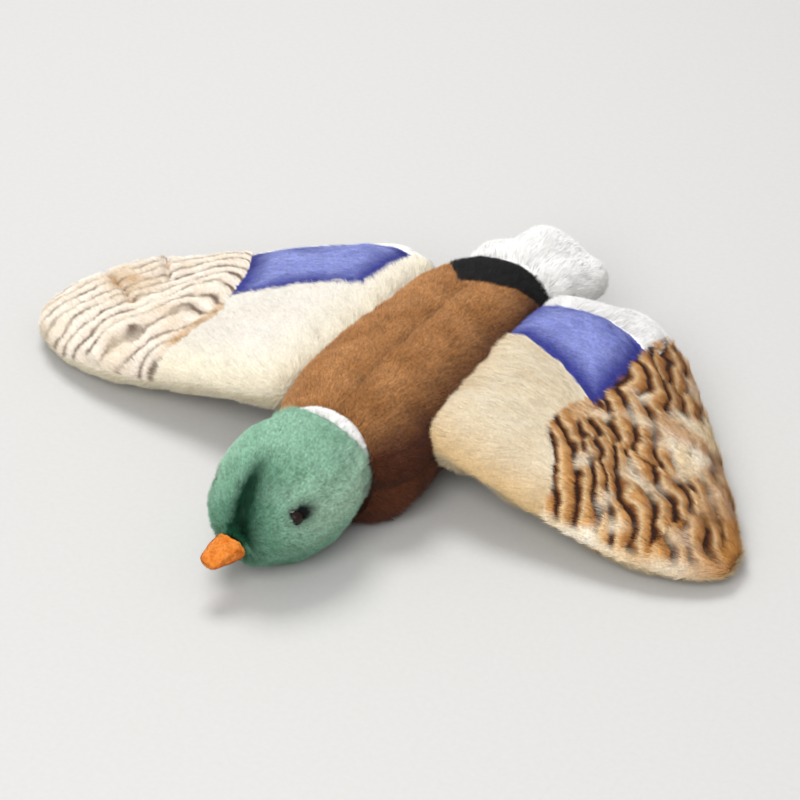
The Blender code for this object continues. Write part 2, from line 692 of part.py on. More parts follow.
class Fin:
    """Sizes of one flat bag in its own directions: out from the hinge, along it, and up."""

    def __init__(self, hinge, out, along, sizes, tables, columns, front_roundness, slant):
        self.hinge = hinge
        self.out = out
        self.along = along
        self.reach, self.chord, self.shift, self.half, self.edge, self.cloth = sizes
        self.outline, self.heights = tables
        self.front_column, self.rear_column = columns
        self.front_roundness = front_roundness
        self.slant = slant

    def thickness(self, share, across):
        """Half thickness of the whole bag at a place."""
        middle = self.half * table_value(share, self.heights, 2)
        roundness = self.front_roundness if across < 0.5 else WING_REAR_ROUNDNESS
        full = (1 - abs(2 * across - 1) ** roundness) ** (1 / WING_FULLNESS)
        return self.edge + (middle - self.edge) * full

    def slanted(self, share, across):
        """Share of the reach of a row's point, where the rows near the border follow its slant."""
        near = [row[0] for row in BORDER_PULL_SHARES]
        pull = float(np.interp(share, near, [row[1] for row in BORDER_PULL_SHARES]))
        return share + self.slant * pull * max(2 * across - 1, 0)

    def under_cloth(self, outer):
        """Half thickness of the hollow where the whole half thickness is outer."""
        return max(outer - self.cloth, self.edge * outer / self.half)

    def place(self, share, root_angle, across, shift, side, half):
        """World point at half a thickness above (side 1) or below (side -1) the middle."""
        front = self.chord * table_value(share, self.outline, self.front_column) + self.shift
        rear = self.chord * table_value(share, self.outline, self.rear_column) + self.shift
        rise = self.hinge.z * (table_value(share, self.heights, 1) - 1)
        seam = SEAM_GAP / 2
        out = self.reach * share - half * math.cos(root_angle)
        height = seam + (half - seam) * math.sin(root_angle)
        along = front + across * (rear - front) + shift
        return self.hinge + self.out * out + self.along * along + Vector((0, 0, rise + side * height))

    def skin(self, row, column, side, outer):
        share, root_angle = row
        across, shift = column(share)
        share = self.slanted(share, across)
        half = self.thickness(share, across)
        if not outer:
            half = self.under_cloth(half)
        return self.place(share, root_angle, across, shift, side, half)

    def filling(self, name, rows, collection, pivot):
        """Lens of filling between the two cloths, over the stretch where there is room for it."""
        rings = []
        for share, root_angle in rows:
            middle = self.half * table_value(share, self.heights, 2)
            least = self.cloth + FILLING_GAP + FILLING_MIN_HALF
            full = (least - self.edge) / (middle - self.edge)
            room = 1 - full**WING_FULLNESS
            front = room ** (1 / self.front_roundness)
            rear = room ** (1 / WING_REAR_ROUNDNESS)
            steps = [math.sin(math.pi * (k / (FILLING_COLUMNS - 1) - 0.5)) for k in range(FILLING_COLUMNS)]
            places = [0.5 + step * (front if step < 0 else rear) / 2 for step in steps]
            upper = []
            lower = []
            for across in places:
                half = self.thickness(self.slanted(share, across), across) - self.cloth - FILLING_GAP
                along = self.slanted(share, across)
                upper.append(self.place(along, root_angle, across, 0, 1, half))
                lower.append(self.place(along, root_angle, across, 0, -1, half))
            rings.append(upper + lower[::-1])
        return add_object(name, lofted_solid(name, rings), collection, "filling", pivot)

    def cutter(self, name, columns, collection):
        """The round root, turned fully about the hinge and grown by the gap, with a ring at each column."""
        facets = 1 / math.cos(math.pi / ROOT_SEGMENTS)
        front = self.chord * table_value(0, self.outline, self.front_column) + self.shift
        rear = self.chord * table_value(0, self.outline, self.rear_column) + self.shift
        chord = rear - front + 2 * TURNING_GAP
        profile = [(0, rear + TURNING_GAP)]
        for across in sorted({column(0)[0] for column in columns}, reverse=True):
            radius = (self.thickness(0, across) + TURNING_GAP) * facets
            profile.append((radius, front - TURNING_GAP + across * chord))
        profile.append((0, front - TURNING_GAP))
        frame = frame_from_axis(self.hinge, self.along, Vector((0, 0, 1)))
        return hide_cutter(add_turned(name, profile, ROOT_SEGMENTS, frame, collection))


def wing_fin(side):
    """side is 1 for the duck's left wing, on +X, and -1 for its right wing."""
    hinge = Vector((side * WING_HINGE.x, WING_HINGE.y, WING_HINGE.z))
    out = Vector((side * math.cos(WING_HINGE_LEAN), math.sin(WING_HINGE_LEAN), 0))
    along = Vector((-side * math.sin(WING_HINGE_LEAN), math.cos(WING_HINGE_LEAN), 0))
    reach = LEFT_WING_REACH if side > 0 else RIGHT_WING_REACH
    columns = (1, 2) if side > 0 else (3, 4)
    slant = LEFT_BORDER_SLANT_SHARE if side > 0 else RIGHT_BORDER_SLANT_SHARE
    sizes = (reach, WING_ROOT_CHORD, WING_ROOT_BACK_SHIFT, WING_HALF_THICK, WING_EDGE_HALF, WING_CLOTH)
    tables = (WING_OUTLINE_SHARES, WING_HEIGHT_SHARES)
    return Fin(hinge, out, along, sizes, tables, columns, WING_FRONT_ROUNDNESS, slant)


def tail_fin():
    sizes = (TAIL_REACH, TAIL_ROOT_WIDTH, 0, TAIL_HALF_THICK, TAIL_EDGE_HALF, TAIL_CLOTH)
    out = Vector((0, 1, 0))
    along = Vector((1, 0, 0))
    tables = (TAIL_OUTLINE_SHARES, TAIL_HEIGHT_SHARES)
    return Fin(TAIL_HINGE, out, along, sizes, tables, (1, 2), WING_REAR_ROUNDNESS, 0)


def wing_rows(side):
    """Rows of the upper side: round the root, then out to the tip, with seams at root and border."""
    half_gap = SEAM_GAP / 2 / RIGHT_WING_REACH
    half_angle = SEAM_GAP / 2 / WING_HALF_THICK
    quarter = math.pi / 2
    seam = LEFT_BLUE_ROOT_ANGLE if side > 0 else RIGHT_BLUE_ROOT_ANGLE
    angles = [angle for angle in ROOT_ROW_ANGLES if angle < seam] + [seam - half_angle, seam + half_angle]
    angles += [angle for angle in ROOT_ROW_ANGLES if angle > seam]
    rows = [(0.0, angle) for angle in angles]
    rows += [(share, quarter) for share in WING_ROW_SHARES]
    rows += [(WING_BORDER_SHARE - half_gap, quarter), (WING_BORDER_SHARE + half_gap, quarter)]
    return rows + [(share, quarter) for share in WING_TIP_ROW_SHARES]


def seam_rows(side):
    """Number of the row after the blue patch's root seam, and of the row before the seam with the tip."""
    seam = LEFT_BLUE_ROOT_ANGLE if side > 0 else RIGHT_BLUE_ROOT_ANGLE
    before = sum(angle < seam for angle in ROOT_ROW_ANGLES)
    return before + 1, len(ROOT_ROW_ANGLES) + 2 + len(WING_ROW_SHARES)


def wing_columns(side):
    """Lines along the wing, as functions of the share of the reach: front, blue and rear blocks."""

    def boundary(shares):
        root, border = shares
        return lambda share: root + (border - root) * min(share / WING_BORDER_SHARE, 1.0)

    blue_front = boundary(BLUE_FRONT_SHARES)
    blue_rear = boundary(LEFT_BLUE_REAR_SHARES if side > 0 else RIGHT_BLUE_REAR_SHARES)
    half_gap = SEAM_GAP / 2
    lines = []
    for s in FRONT_COLUMN_SHARES:
        shift = -half_gap if s == 1.0 else 0.0
        lines.append(lambda share, s=s, shift=shift: (s * blue_front(share), shift))
    for s in BLUE_COLUMN_SHARES:
        shift = {0.0: half_gap, 1.0: -half_gap}.get(s, 0.0)

        def blue(share, s=s, shift=shift):
            return blue_front(share) + s * (blue_rear(share) - blue_front(share)), shift

        lines.append(blue)
    for s in EDGE_COLUMN_SHARES:
        shift = half_gap if s == 0.0 else 0.0
        lines.append(lambda share, s=s, shift=shift: (blue_rear(share) + s * (1 - blue_rear(share)), shift))
    return lines


def plain_columns(shares):
    return [lambda share, s=s: (s, 0.0) for s in shares]


def build_wing(collection, pivot, side):
    fin = wing_fin(side)
    prefix = "left_wing_" if side > 0 else "right_wing_"
    rows = wing_rows(side)
    columns = wing_columns(side)
    outer = [[fin.skin(row, column, 1, True) for column in columns] for row in rows]
    inner = [[fin.skin(row, column, 1, False) for column in columns] for row in rows]
    root_row, border_row = seam_rows(side)
    blue_first = len(FRONT_COLUMN_SHARES)
    edge_first = blue_first + len(BLUE_COLUMN_SHARES)

    def in_front(j):
        return j < blue_first - 1

    def in_blue(j):
        return blue_first <= j < edge_first - 1

    def in_edge(j):
        return j >= edge_first

    def is_covert(i, j):
        if i < root_row - 1:
            return j < edge_first - 1
        return i < border_row and in_front(j)

    def is_blue(i, j):
        return root_row <= i < border_row and in_blue(j)

    def is_edge(i, j):
        return i < border_row and in_edge(j)

    def is_tip(i, j):
        return i > border_row

    panels = (
        ("covert_panel", is_covert, "cream_plush"),
        ("blue_patch", is_blue, "blue_plush"),
        ("rear_edge_panel", is_edge, "white_plush"),
        ("tip_panel", is_tip, "striped_plush"),
    )
    for name, cells, material in panels:
        data = sewn_panel(prefix + name, outer, inner, cells)
        add_object(prefix + name, data, collection, material, pivot)
    columns = plain_columns(LINING_COLUMN_SHARES)
    rows = [row for k, row in enumerate(rows) if k not in (root_row, border_row + 1)]
    outer = [[fin.skin(row, column, -1, True) for column in columns] for row in rows]
    inner = [[fin.skin(row, column, -1, False) for column in columns] for row in rows]
    data = sewn_panel(prefix + "underside", outer, inner, lambda i, j: True)
    add_object(prefix + "underside", data, collection, "cream_plush", pivot)
    filling_rows = [(0.0, angle) for angle in ROOT_ROW_ANGLES[1:]]
    filling_rows += [(share, math.pi / 2) for share in FILLING_ROW_SHARES]
    fin.filling(prefix + "filling", filling_rows, collection, pivot)


def build_tail(collection, pivot):
    fin = tail_fin()
    quarter = math.pi / 2
    rows = [(0.0, angle) for angle in ROOT_ROW_ANGLES[:-1]] + [(share, quarter) for share in TAIL_ROW_SHARES]
    columns = plain_columns(TAIL_COLUMN_SHARES)
    for name, side in (("tail_top_panel", 1), ("tail_underside", -1)):
        outer = [[fin.skin(row, column, side, True) for column in columns] for row in rows]
        inner = [[fin.skin(row, column, side, False) for column in columns] for row in rows]
        data = sewn_panel(name, outer, inner, lambda i, j: True)
        add_object(name, data, collection, "white_plush", pivot)
    filling_rows = [(0.0, angle) for angle in ROOT_ROW_ANGLES[1:]]
    filling_rows += [(share, quarter) for share in TAIL_FILLING_ROW_SHARES]
    fin.filling("tail_filling", filling_rows, collection, pivot)


# Cutters of the body


def neck_socket_cutter(collection):
    """Ball that clears the neck as it turns."""
    facets = 1 / math.cos(math.pi / SOCKET_SEGMENTS)
    radius = (HEAD_BALL_RADIUS + TURNING_GAP + RING_THICK + TURNING_GAP) * facets
    mesh = bmesh.new()
    rounds = SOCKET_SEGMENTS // 2
    bmesh.ops.create_uvsphere(mesh, u_segments=SOCKET_SEGMENTS, v_segments=rounds, radius=radius)
    bmesh.ops.rotate(mesh, verts=mesh.verts, matrix=Matrix.Rotation(math.pi / 2, 3, "X"))
    bmesh.ops.translate(mesh, verts=mesh.verts, vec=NECK_POINT)
    name = "neck_socket_cutter"
    return hide_cutter(add_object(name, closed_mesh(name, mesh), collection))


def floor_cutter(collection):
    """Block under the table's plane, which leaves the belly flat."""
    mesh = bmesh.new()
    bmesh.ops.create_cube(mesh, size=1)
    size = Vector((2 * BODY_HALF_WIDTH, BODY_LENGTH, FLOOR_CUTTER_DEPTH))
    bmesh.ops.scale(mesh, verts=mesh.verts, vec=size)
    middle = Vector((0, BODY_FRONT_Y + BODY_LENGTH / 2, -FLOOR_CUTTER_DEPTH / 2))
    bmesh.ops.translate(mesh, verts=mesh.verts, vec=middle)
    return hide_cutter(add_object("floor_cutter", closed_mesh("floor_cutter", mesh), collection))


def build():
    clear_scene()
    parts = new_collection(COLLECTION_NAME)
    cutters = new_collection(CUTTER_COLLECTION_NAME)
    left_fin, right_fin, tail = wing_fin(1), wing_fin(-1), tail_fin()
    lining = plain_columns(LINING_COLUMN_SHARES)
    body_cutters = [
        neck_socket_cutter(cutters),
        left_fin.cutter("left_wing_root_cutter", wing_columns(1) + lining, cutters),
        right_fin.cutter("right_wing_root_cutter", wing_columns(-1) + lining, cutters),
        tail.cutter("tail_root_cutter", plain_columns(TAIL_COLUMN_SHARES), cutters),
        floor_cutter(cutters),
    ]
    build_body(parts, body_cutters)
    neck_pivot = add_pivot("neck_pivot", NECK_POINT, parts)
    build_neck(parts, neck_pivot)
    build_head(parts, neck_pivot, eye_cutters(cutters))
    build_eyes(parts, neck_pivot)
    build_bill(parts, neck_pivot, head_cutter(cutters))
    build_wing(parts, add_pivot("left_wing_hinge", left_fin.hinge, parts), 1)
    build_wing(parts, add_pivot("right_wing_hinge", right_fin.hinge, parts), -1)
    build_tail(parts, add_pivot("tail_hinge", tail.hinge, parts))


build()
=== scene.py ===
# A plush mallard that lies on its belly with both wings spread.
#
# Lengths are metres. The duck's bill points along -Y, its left wing along +X and its back along +Z.

import itertools
import json
import math

import bmesh
import bpy
import numpy as np
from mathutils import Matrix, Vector
from mathutils.bvhtree import BVHTree


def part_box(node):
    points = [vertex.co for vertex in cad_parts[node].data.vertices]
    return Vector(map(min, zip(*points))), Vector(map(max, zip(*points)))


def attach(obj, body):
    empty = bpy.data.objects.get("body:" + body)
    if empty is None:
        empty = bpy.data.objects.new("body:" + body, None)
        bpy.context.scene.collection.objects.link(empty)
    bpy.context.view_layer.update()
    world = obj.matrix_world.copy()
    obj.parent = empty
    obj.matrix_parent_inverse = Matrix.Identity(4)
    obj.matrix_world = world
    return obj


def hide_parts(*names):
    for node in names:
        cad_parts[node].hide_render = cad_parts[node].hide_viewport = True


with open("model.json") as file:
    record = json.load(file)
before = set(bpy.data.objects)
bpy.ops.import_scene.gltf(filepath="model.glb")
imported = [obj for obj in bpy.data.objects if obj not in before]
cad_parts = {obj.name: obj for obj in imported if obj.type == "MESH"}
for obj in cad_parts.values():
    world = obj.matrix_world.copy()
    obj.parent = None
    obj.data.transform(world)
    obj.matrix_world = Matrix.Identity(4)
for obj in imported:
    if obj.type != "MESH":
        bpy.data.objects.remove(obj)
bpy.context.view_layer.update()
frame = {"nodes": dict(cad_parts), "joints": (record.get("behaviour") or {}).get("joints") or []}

# The table and the light. The duck lies on a plain pale sheet of matt paper, under one broad soft lamp behind its
# right wing and another in front, in a room with pale walls.

CAMERA_AIM = Vector((0.0, 0.063, 0.040))
CAMERA_DISTANCE = 2.21
CAMERA_AZIMUTH = math.radians(30.3)
CAMERA_ELEVATION = math.radians(32.2)
PHOTO_FOCAL_PIXELS = 3182
PHOTO_WIDTH_PIXELS = 800
SENSOR_WIDTH_MM = 36
PHOTO_SHIFT = (-0.060, -0.06875)
PAPER_SIZE = 12.0
PAPER_GRAIN = 0.004
KEY_LAMP_PLACE = Vector((-0.75, 0.62, 2.05))
KEY_LAMP_SIZE = 1.1
KEY_LAMP_POWER = 36.0
FILL_LAMP_PLACE = Vector((0.45, -1.75, 1.50))
FILL_LAMP_SIZE = 1.6
FILL_LAMP_POWER = 36.0
ROOM_STRENGTH = 0.58


def linear(hex_colour, alpha=1.0):
    """Linear colour of an sRGB hex value."""
    shares = [int(hex_colour[k : k + 2], 16) / 255 for k in (1, 3, 5)]
    return tuple(s / 12.92 if s <= 0.04045 else ((s + 0.055) / 1.055) ** 2.4 for s in shares) + (alpha,)


def add_node(tree, kind, settings=(), links=()):
    """Adds a node. Settings are names and values; links are inputs, each with a value or another node's output."""
    made = tree.nodes.new(kind)
    for name, value in settings:
        setattr(made, name, value)
    for name, value in links:
        socket = made.inputs[name]
        if isinstance(value, bpy.types.NodeSocket):
            tree.links.new(value, socket)
        else:
            socket.default_value = value
    return made


def new_material(name):
    """Empty node material and its tree."""
    material = bpy.data.materials.new(name)
    material.use_nodes = True
    material.node_tree.nodes.clear()
    return material, material.node_tree


def add_lamp(name, place, size, power):
    lamp = bpy.data.objects.new(name, bpy.data.lights.new(name, "AREA"))
    lamp.data.shape = "DISK"
    lamp.data.size = size
    lamp.data.energy = power
    lamp.location = place
    lamp.rotation_euler = (CAMERA_AIM - place).to_track_quat("-Z", "Y").to_euler()
    bpy.context.scene.collection.objects.link(lamp)


camera = bpy.data.objects.new("camera", bpy.data.cameras.new("camera"))
bpy.context.scene.collection.objects.link(camera)
bpy.context.scene.camera = camera
camera_back = Vector(
    (
        math.sin(CAMERA_AZIMUTH) * math.cos(CAMERA_ELEVATION),
        -math.cos(CAMERA_AZIMUTH) * math.cos(CAMERA_ELEVATION),
        math.sin(CAMERA_ELEVATION),
    )
)
camera.location = CAMERA_AIM + camera_back * CAMERA_DISTANCE
camera.rotation_euler = camera_back.to_track_quat("Z", "Y").to_euler()
camera.data.sensor_width = SENSOR_WIDTH_MM
camera.data.lens = SENSOR_WIDTH_MM * PHOTO_FOCAL_PIXELS / PHOTO_WIDTH_PIXELS
camera.data.shift_x, camera.data.shift_y = PHOTO_SHIFT
camera.data.clip_end = 100

add_lamp("key_lamp", KEY_LAMP_PLACE, KEY_LAMP_SIZE, KEY_LAMP_POWER)
add_lamp("fill_lamp", FILL_LAMP_PLACE, FILL_LAMP_SIZE, FILL_LAMP_POWER)

paper_mesh = bmesh.new()
bmesh.ops.create_grid(paper_mesh, x_segments=1, y_segments=1, size=PAPER_SIZE / 2)
paper_data = bpy.data.meshes.new("paper")
paper_mesh.to_mesh(paper_data)
paper_mesh.free()
paper = bpy.data.objects.new("paper", paper_data)
bpy.context.scene.collection.objects.link(paper)
paper_material, tree = new_material("matt_paper")
place = add_node(tree, "ShaderNodeTexCoord").outputs["Object"]
grain = add_node(tree, "ShaderNodeTexNoise", links=[("Vector", place), ("Scale", 1 / PAPER_GRAIN)])
tint = add_node(
    tree,
    "ShaderNodeMix",
    [("data_type", "RGBA")],
    [("Factor", grain.outputs["Fac"]), ("A", linear("#bfbebb")), ("B", linear("#c5c4c1"))],
)
sheet = add_node(tree, "ShaderNodeBsdfPrincipled", links=[("Base Color", tint.outputs[2]), ("Roughness", 0.95)])
add_node(tree, "ShaderNodeOutputMaterial", links=[("Surface", sheet.outputs[0])])
paper_data.materials.append(paper_material)

world = bpy.data.worlds.new("room")
bpy.context.scene.world = world
world.use_nodes = True
tree = world.node_tree
tree.nodes.clear()
light = add_node(
    tree, "ShaderNodeBackground", links=[("Color", linear("#f6f6fa")), ("Strength", ROOM_STRENGTH)]
)
walls = add_node(tree, "ShaderNodeBackground", links=[("Color", linear("#e6e6e4")), ("Strength", 1.0)])
seen = add_node(tree, "ShaderNodeLightPath").outputs["Is Camera Ray"]
room = add_node(tree, "ShaderNodeMixShader", links=[(0, seen), (1, light.outputs[0]), (2, walls.outputs[0])])
add_node(tree, "ShaderNodeOutputWorld", links=[("Surface", room.outputs[0])])
bpy.context.scene.view_settings.view_transform = "Standard"


# The body is a bag of four plush panels, brown along the back, dark brown under the belly and black on the rump,
# sewn inside out, turned, and stuffed until the cloth stands up between the seams.

SKIN_VOXEL = 0.0030
SEWN_WIDTH = 0.0026
PRESSED_GAP = 0.0024
GROOVE_WIDTH = 0.0026
SKIN_SHRINK = 0.0012
PRESSURE = 4.0
PUFF_FRAMES = 20
PUFF_CAP = 0.0045
PUFF_SMOOTHING = 14
SPARE_CLOTH_SHARE = -0.04
TABLE_CLEARANCE = 0.0002
CRUSHED_PILE = 0.0014
STRAND_SUNK = 0.0005
STRAND_WIDTH = 0.00044
STRAND_BEND_SHARE = 0.42
STRAND_MIDDLE_WIDTH_SHARE = 0.85
GRAIN_SIZE = 0.0016
MARKED_SHARE = 0.60
TUFT_SIZE = 0.0034
LOCK_SIZE = 0.014
FLECK_SIZE = 0.0018
FLECK_WEIGHT = 4.0


def soft_noise(points, grain, seed):
    """Smooth noise from -1 to 1 at each point, with about one hump to a grain."""
    places = points / grain + seed * 7.31
    base = np.floor(places).astype(np.int64)
    part = places - base
    part = part * part * (3 - 2 * part)
    total = np.zeros(len(points))
    for corner in itertools.product((0, 1), repeat=3):
        key = ((base + corner) * (73856093, 19349663, 83492791)).sum(1) + seed * 977
        key = (key ^ (key >> 13)) * 1274126177 & 0x7FFFFFFF
        value = ((key ^ (key >> 15)) & 0xFFFF) / 32767.5 - 1
        total += value * np.prod(np.where(corner, part, 1 - part), axis=1)
    return total


def unit(vectors):
    return vectors / np.maximum(np.linalg.norm(vectors, axis=1, keepdims=True), 1e-9)


def mesh_points(mesh):
    points = np.zeros(len(mesh.vertices) * 3, np.float32)
    mesh.vertices.foreach_get("co", points)
    return points.reshape(-1, 3).astype(float)


def mesh_normals(mesh):
    normals = np.zeros(len(mesh.vertices) * 3, np.float32)
    mesh.vertices.foreach_get("normal", normals)
    return normals.reshape(-1, 3).astype(float)


def evaluated_mesh(thing):
    depsgraph = bpy.context.evaluated_depsgraph_get()
    return bpy.data.meshes.new_from_object(thing.evaluated_get(depsgraph))


def temporary(mesh):
    thing = bpy.data.objects.new("temporary", mesh)
    bpy.context.scene.collection.objects.link(thing)
    return thing


def outer_shell(mesh):
    """Keeps the largest of a mesh's loose shells."""
    shape = bmesh.new()
    shape.from_mesh(mesh)
    left = set(shape.verts)
    shells = []
    while left:
        queue = [left.pop()]
        shell = list(queue)
        while queue:
            for edge in queue.pop().link_edges:
                for corner in edge.verts:
                    if corner in left:
                        left.remove(corner)
                        queue.append(corner)
                        shell.append(corner)
        shells.append(shell)
    shells.sort(key=len)
    for shell in shells[:-1]:
        bmesh.ops.delete(shape, geom=shell, context="VERTS")
    for _ in range(3):
        bmesh.ops.smooth_vert(shape, verts=shape.verts, factor=0.5, use_axis_x=True, use_axis_y=True, use_axis_z=True)
    shape.to_mesh(mesh)
    shape.free()


def joined(nodes):
    """Points and faces of several CAD solids as one list each."""
    points = []
    faces = []
    for name in nodes:
        mesh = frame["nodes"][name].data
        start = len(points)
        points += [tuple(v.co) for v in mesh.vertices]
        faces += [tuple(start + k for k in face.vertices) for face in mesh.polygons]
    return points, faces


def distances(points, groups):
    """Distance from each point to the solids of each group of CAD nodes, one column a group."""
    columns = []
    for nodes in groups:
        tree = BVHTree.FromPolygons(*joined(nodes))
        columns.append([tree.find_nearest(Vector(point))[3] for point in points])
    return np.array(columns).T


def stuffed(mesh, sewn):
    """Puffs a closed skin up round its filling by a cloth simulation that holds it along its seams."""
    thing = temporary(mesh)
    group = thing.vertex_groups.new(name="sewn")
    group.add([int(k) for k in np.nonzero(sewn)[0]], 1.0, "REPLACE")
    cloth = thing.modifiers.new("stuffing", "CLOTH")
    cloth.settings.vertex_group_mass = "sewn"
    cloth.settings.use_pressure = True
    cloth.settings.uniform_pressure_force = PRESSURE
    cloth.settings.effector_weights.gravity = 0
    cloth.settings.shrink_min = SPARE_CLOTH_SHARE
    cloth.point_cache.frame_start = 1
    cloth.point_cache.frame_end = PUFF_FRAMES
    for moment in range(1, PUFF_FRAMES + 1):
        bpy.context.scene.frame_set(moment)
    puffed = evaluated_mesh(thing)
    points = mesh_points(puffed)
    bpy.data.objects.remove(thing)
    bpy.data.meshes.remove(puffed)
    bpy.context.scene.frame_set(1)
    return points


def evened(mesh, moves):
    """Moves of a mesh's points with the small wrinkles averaged out."""
    ends = np.zeros(len(mesh.edges) * 2, np.int32)
    mesh.edges.foreach_get("vertices", ends)
    ends = np.concatenate([ends.reshape(-1, 2), ends.reshape(-1, 2)[:, ::-1]])
    shares = np.bincount(ends[:, 0], minlength=len(moves))
    for _ in range(PUFF_SMOOTHING):
        total = [np.bincount(ends[:, 0], moves[ends[:, 1], k], len(moves)) for k in range(3)]
        moves = (moves + np.stack(total, axis=1) / shares[:, None]) / 2
    return moves


def bag_skin(
    panels, filling, beside, lumps, lump_size, seed,
    voxel=SKIN_VOXEL, relief=None, puff=True, groove=0.0008, seams=None,
):
    """Skin round the solids of one bag: points, normals, faces, how far each point lies from each panel, and which
    points the bags beside it press on. Lumps and lump_size are the height and width of its unevenness, and groove is
    how deep the thread draws in each seam. seams may move a seam a little along the cloth."""
    solid = bpy.data.meshes.new("solid")
    points, faces = joined(panels + filling)
    solid.from_pydata(points, [], faces)
    thing = temporary(solid)
    remesh = thing.modifiers.new("one_skin", "REMESH")
    remesh.mode = "VOXEL"
    remesh.voxel_size = voxel
    skin = evaluated_mesh(thing)
    bpy.data.objects.remove(thing)
    outer_shell(skin)
    groups = [[panel] for panel in panels]
    start = mesh_points(skin)
    near = np.sort(distances(start, groups), axis=1)
    held = distances(start, [beside])[:, 0] < PRESSED_GAP
    if len(panels) > 1:
        held |= near[:, 1] < SEWN_WIDTH
    puffed = start
    if puff:
        shrunk = start - mesh_normals(skin) * SKIN_SHRINK
        skin.vertices.foreach_set("co", shrunk.astype(np.float32).ravel())
        skin.update()
        moved = evened(skin, stuffed(skin, held) - shrunk)
        length = np.linalg.norm(moved, axis=1, keepdims=True)
        puffed = shrunk + moved * np.tanh(length / PUFF_CAP) * PUFF_CAP / np.maximum(length, 1e-9)
    flat = start[:, 2] < voxel / 2
    puffed[flat, 2] = start[flat, 2]
    puffed[:, 2] = np.maximum(puffed[:, 2], TABLE_CLEARANCE)
    skin.vertices.foreach_set("co", puffed.astype(np.float32).ravel())
    thing = temporary(skin)
    finer = thing.modifiers.new("finer", "SUBSURF")
    finer.levels = 1
    fine = evaluated_mesh(thing)
    bpy.data.objects.remove(thing)
    points = mesh_points(fine)
    near = distances(points, groups)
    if seams:
        seams(points, near)
    pressed = distances(points, [beside])[:, 0] < PRESSED_GAP
    rise = soft_noise(points, lump_size, seed) * lumps
    if len(panels) > 1:
        closest = np.sort(near, axis=1)
        rise -= groove * np.exp(-(((closest[:, 1] - closest[:, 0]) / GROOVE_WIDTH) ** 2))
    if relief:
        rise += relief(points, near)
    points += mesh_normals(fine) * np.where(pressed, 0, rise)[:, None]
    points[:, 2] = np.maximum(points[:, 2], CRUSHED_PILE)
    fine.vertices.foreach_set("co", points.astype(np.float32).ravel())
    fine.update()
    quads = np.zeros(len(fine.loops), np.int32)
    fine.loops.foreach_get("vertex_index", quads)
    return {
        "points": points,
        "normals": mesh_normals(fine),
        "quads": quads.reshape(-1, 4),
        "near": near,
        "panels": panels,
        "bare": pressed,
    }


def scatter(skin, mask, per_mm2, seed):
    """Random places on a skin: points, normals and distances to the panels, where the mask of the points holds."""
    rng = np.random.default_rng(seed)
    quads = skin["quads"][mask[skin["quads"]].any(axis=1)]
    corners = skin["points"][quads]
    area = np.linalg.norm(np.cross(corners[:, 2] - corners[:, 0], corners[:, 3] - corners[:, 1]), axis=1) / 2
    count = int(area.sum() * 1e6 * per_mm2)
    chosen = rng.choice(len(quads), count, p=area / area.sum())
    u, v = rng.random((2, count, 1))
    weights = [(1 - u) * (1 - v), u * (1 - v), u * v, (1 - u) * v]

    def spread(values):
        return sum(w * values[quads[chosen, k]] for k, w in enumerate(weights))

    return spread(skin["points"]), unit(spread(skin["normals"])), spread(skin["near"]), rng


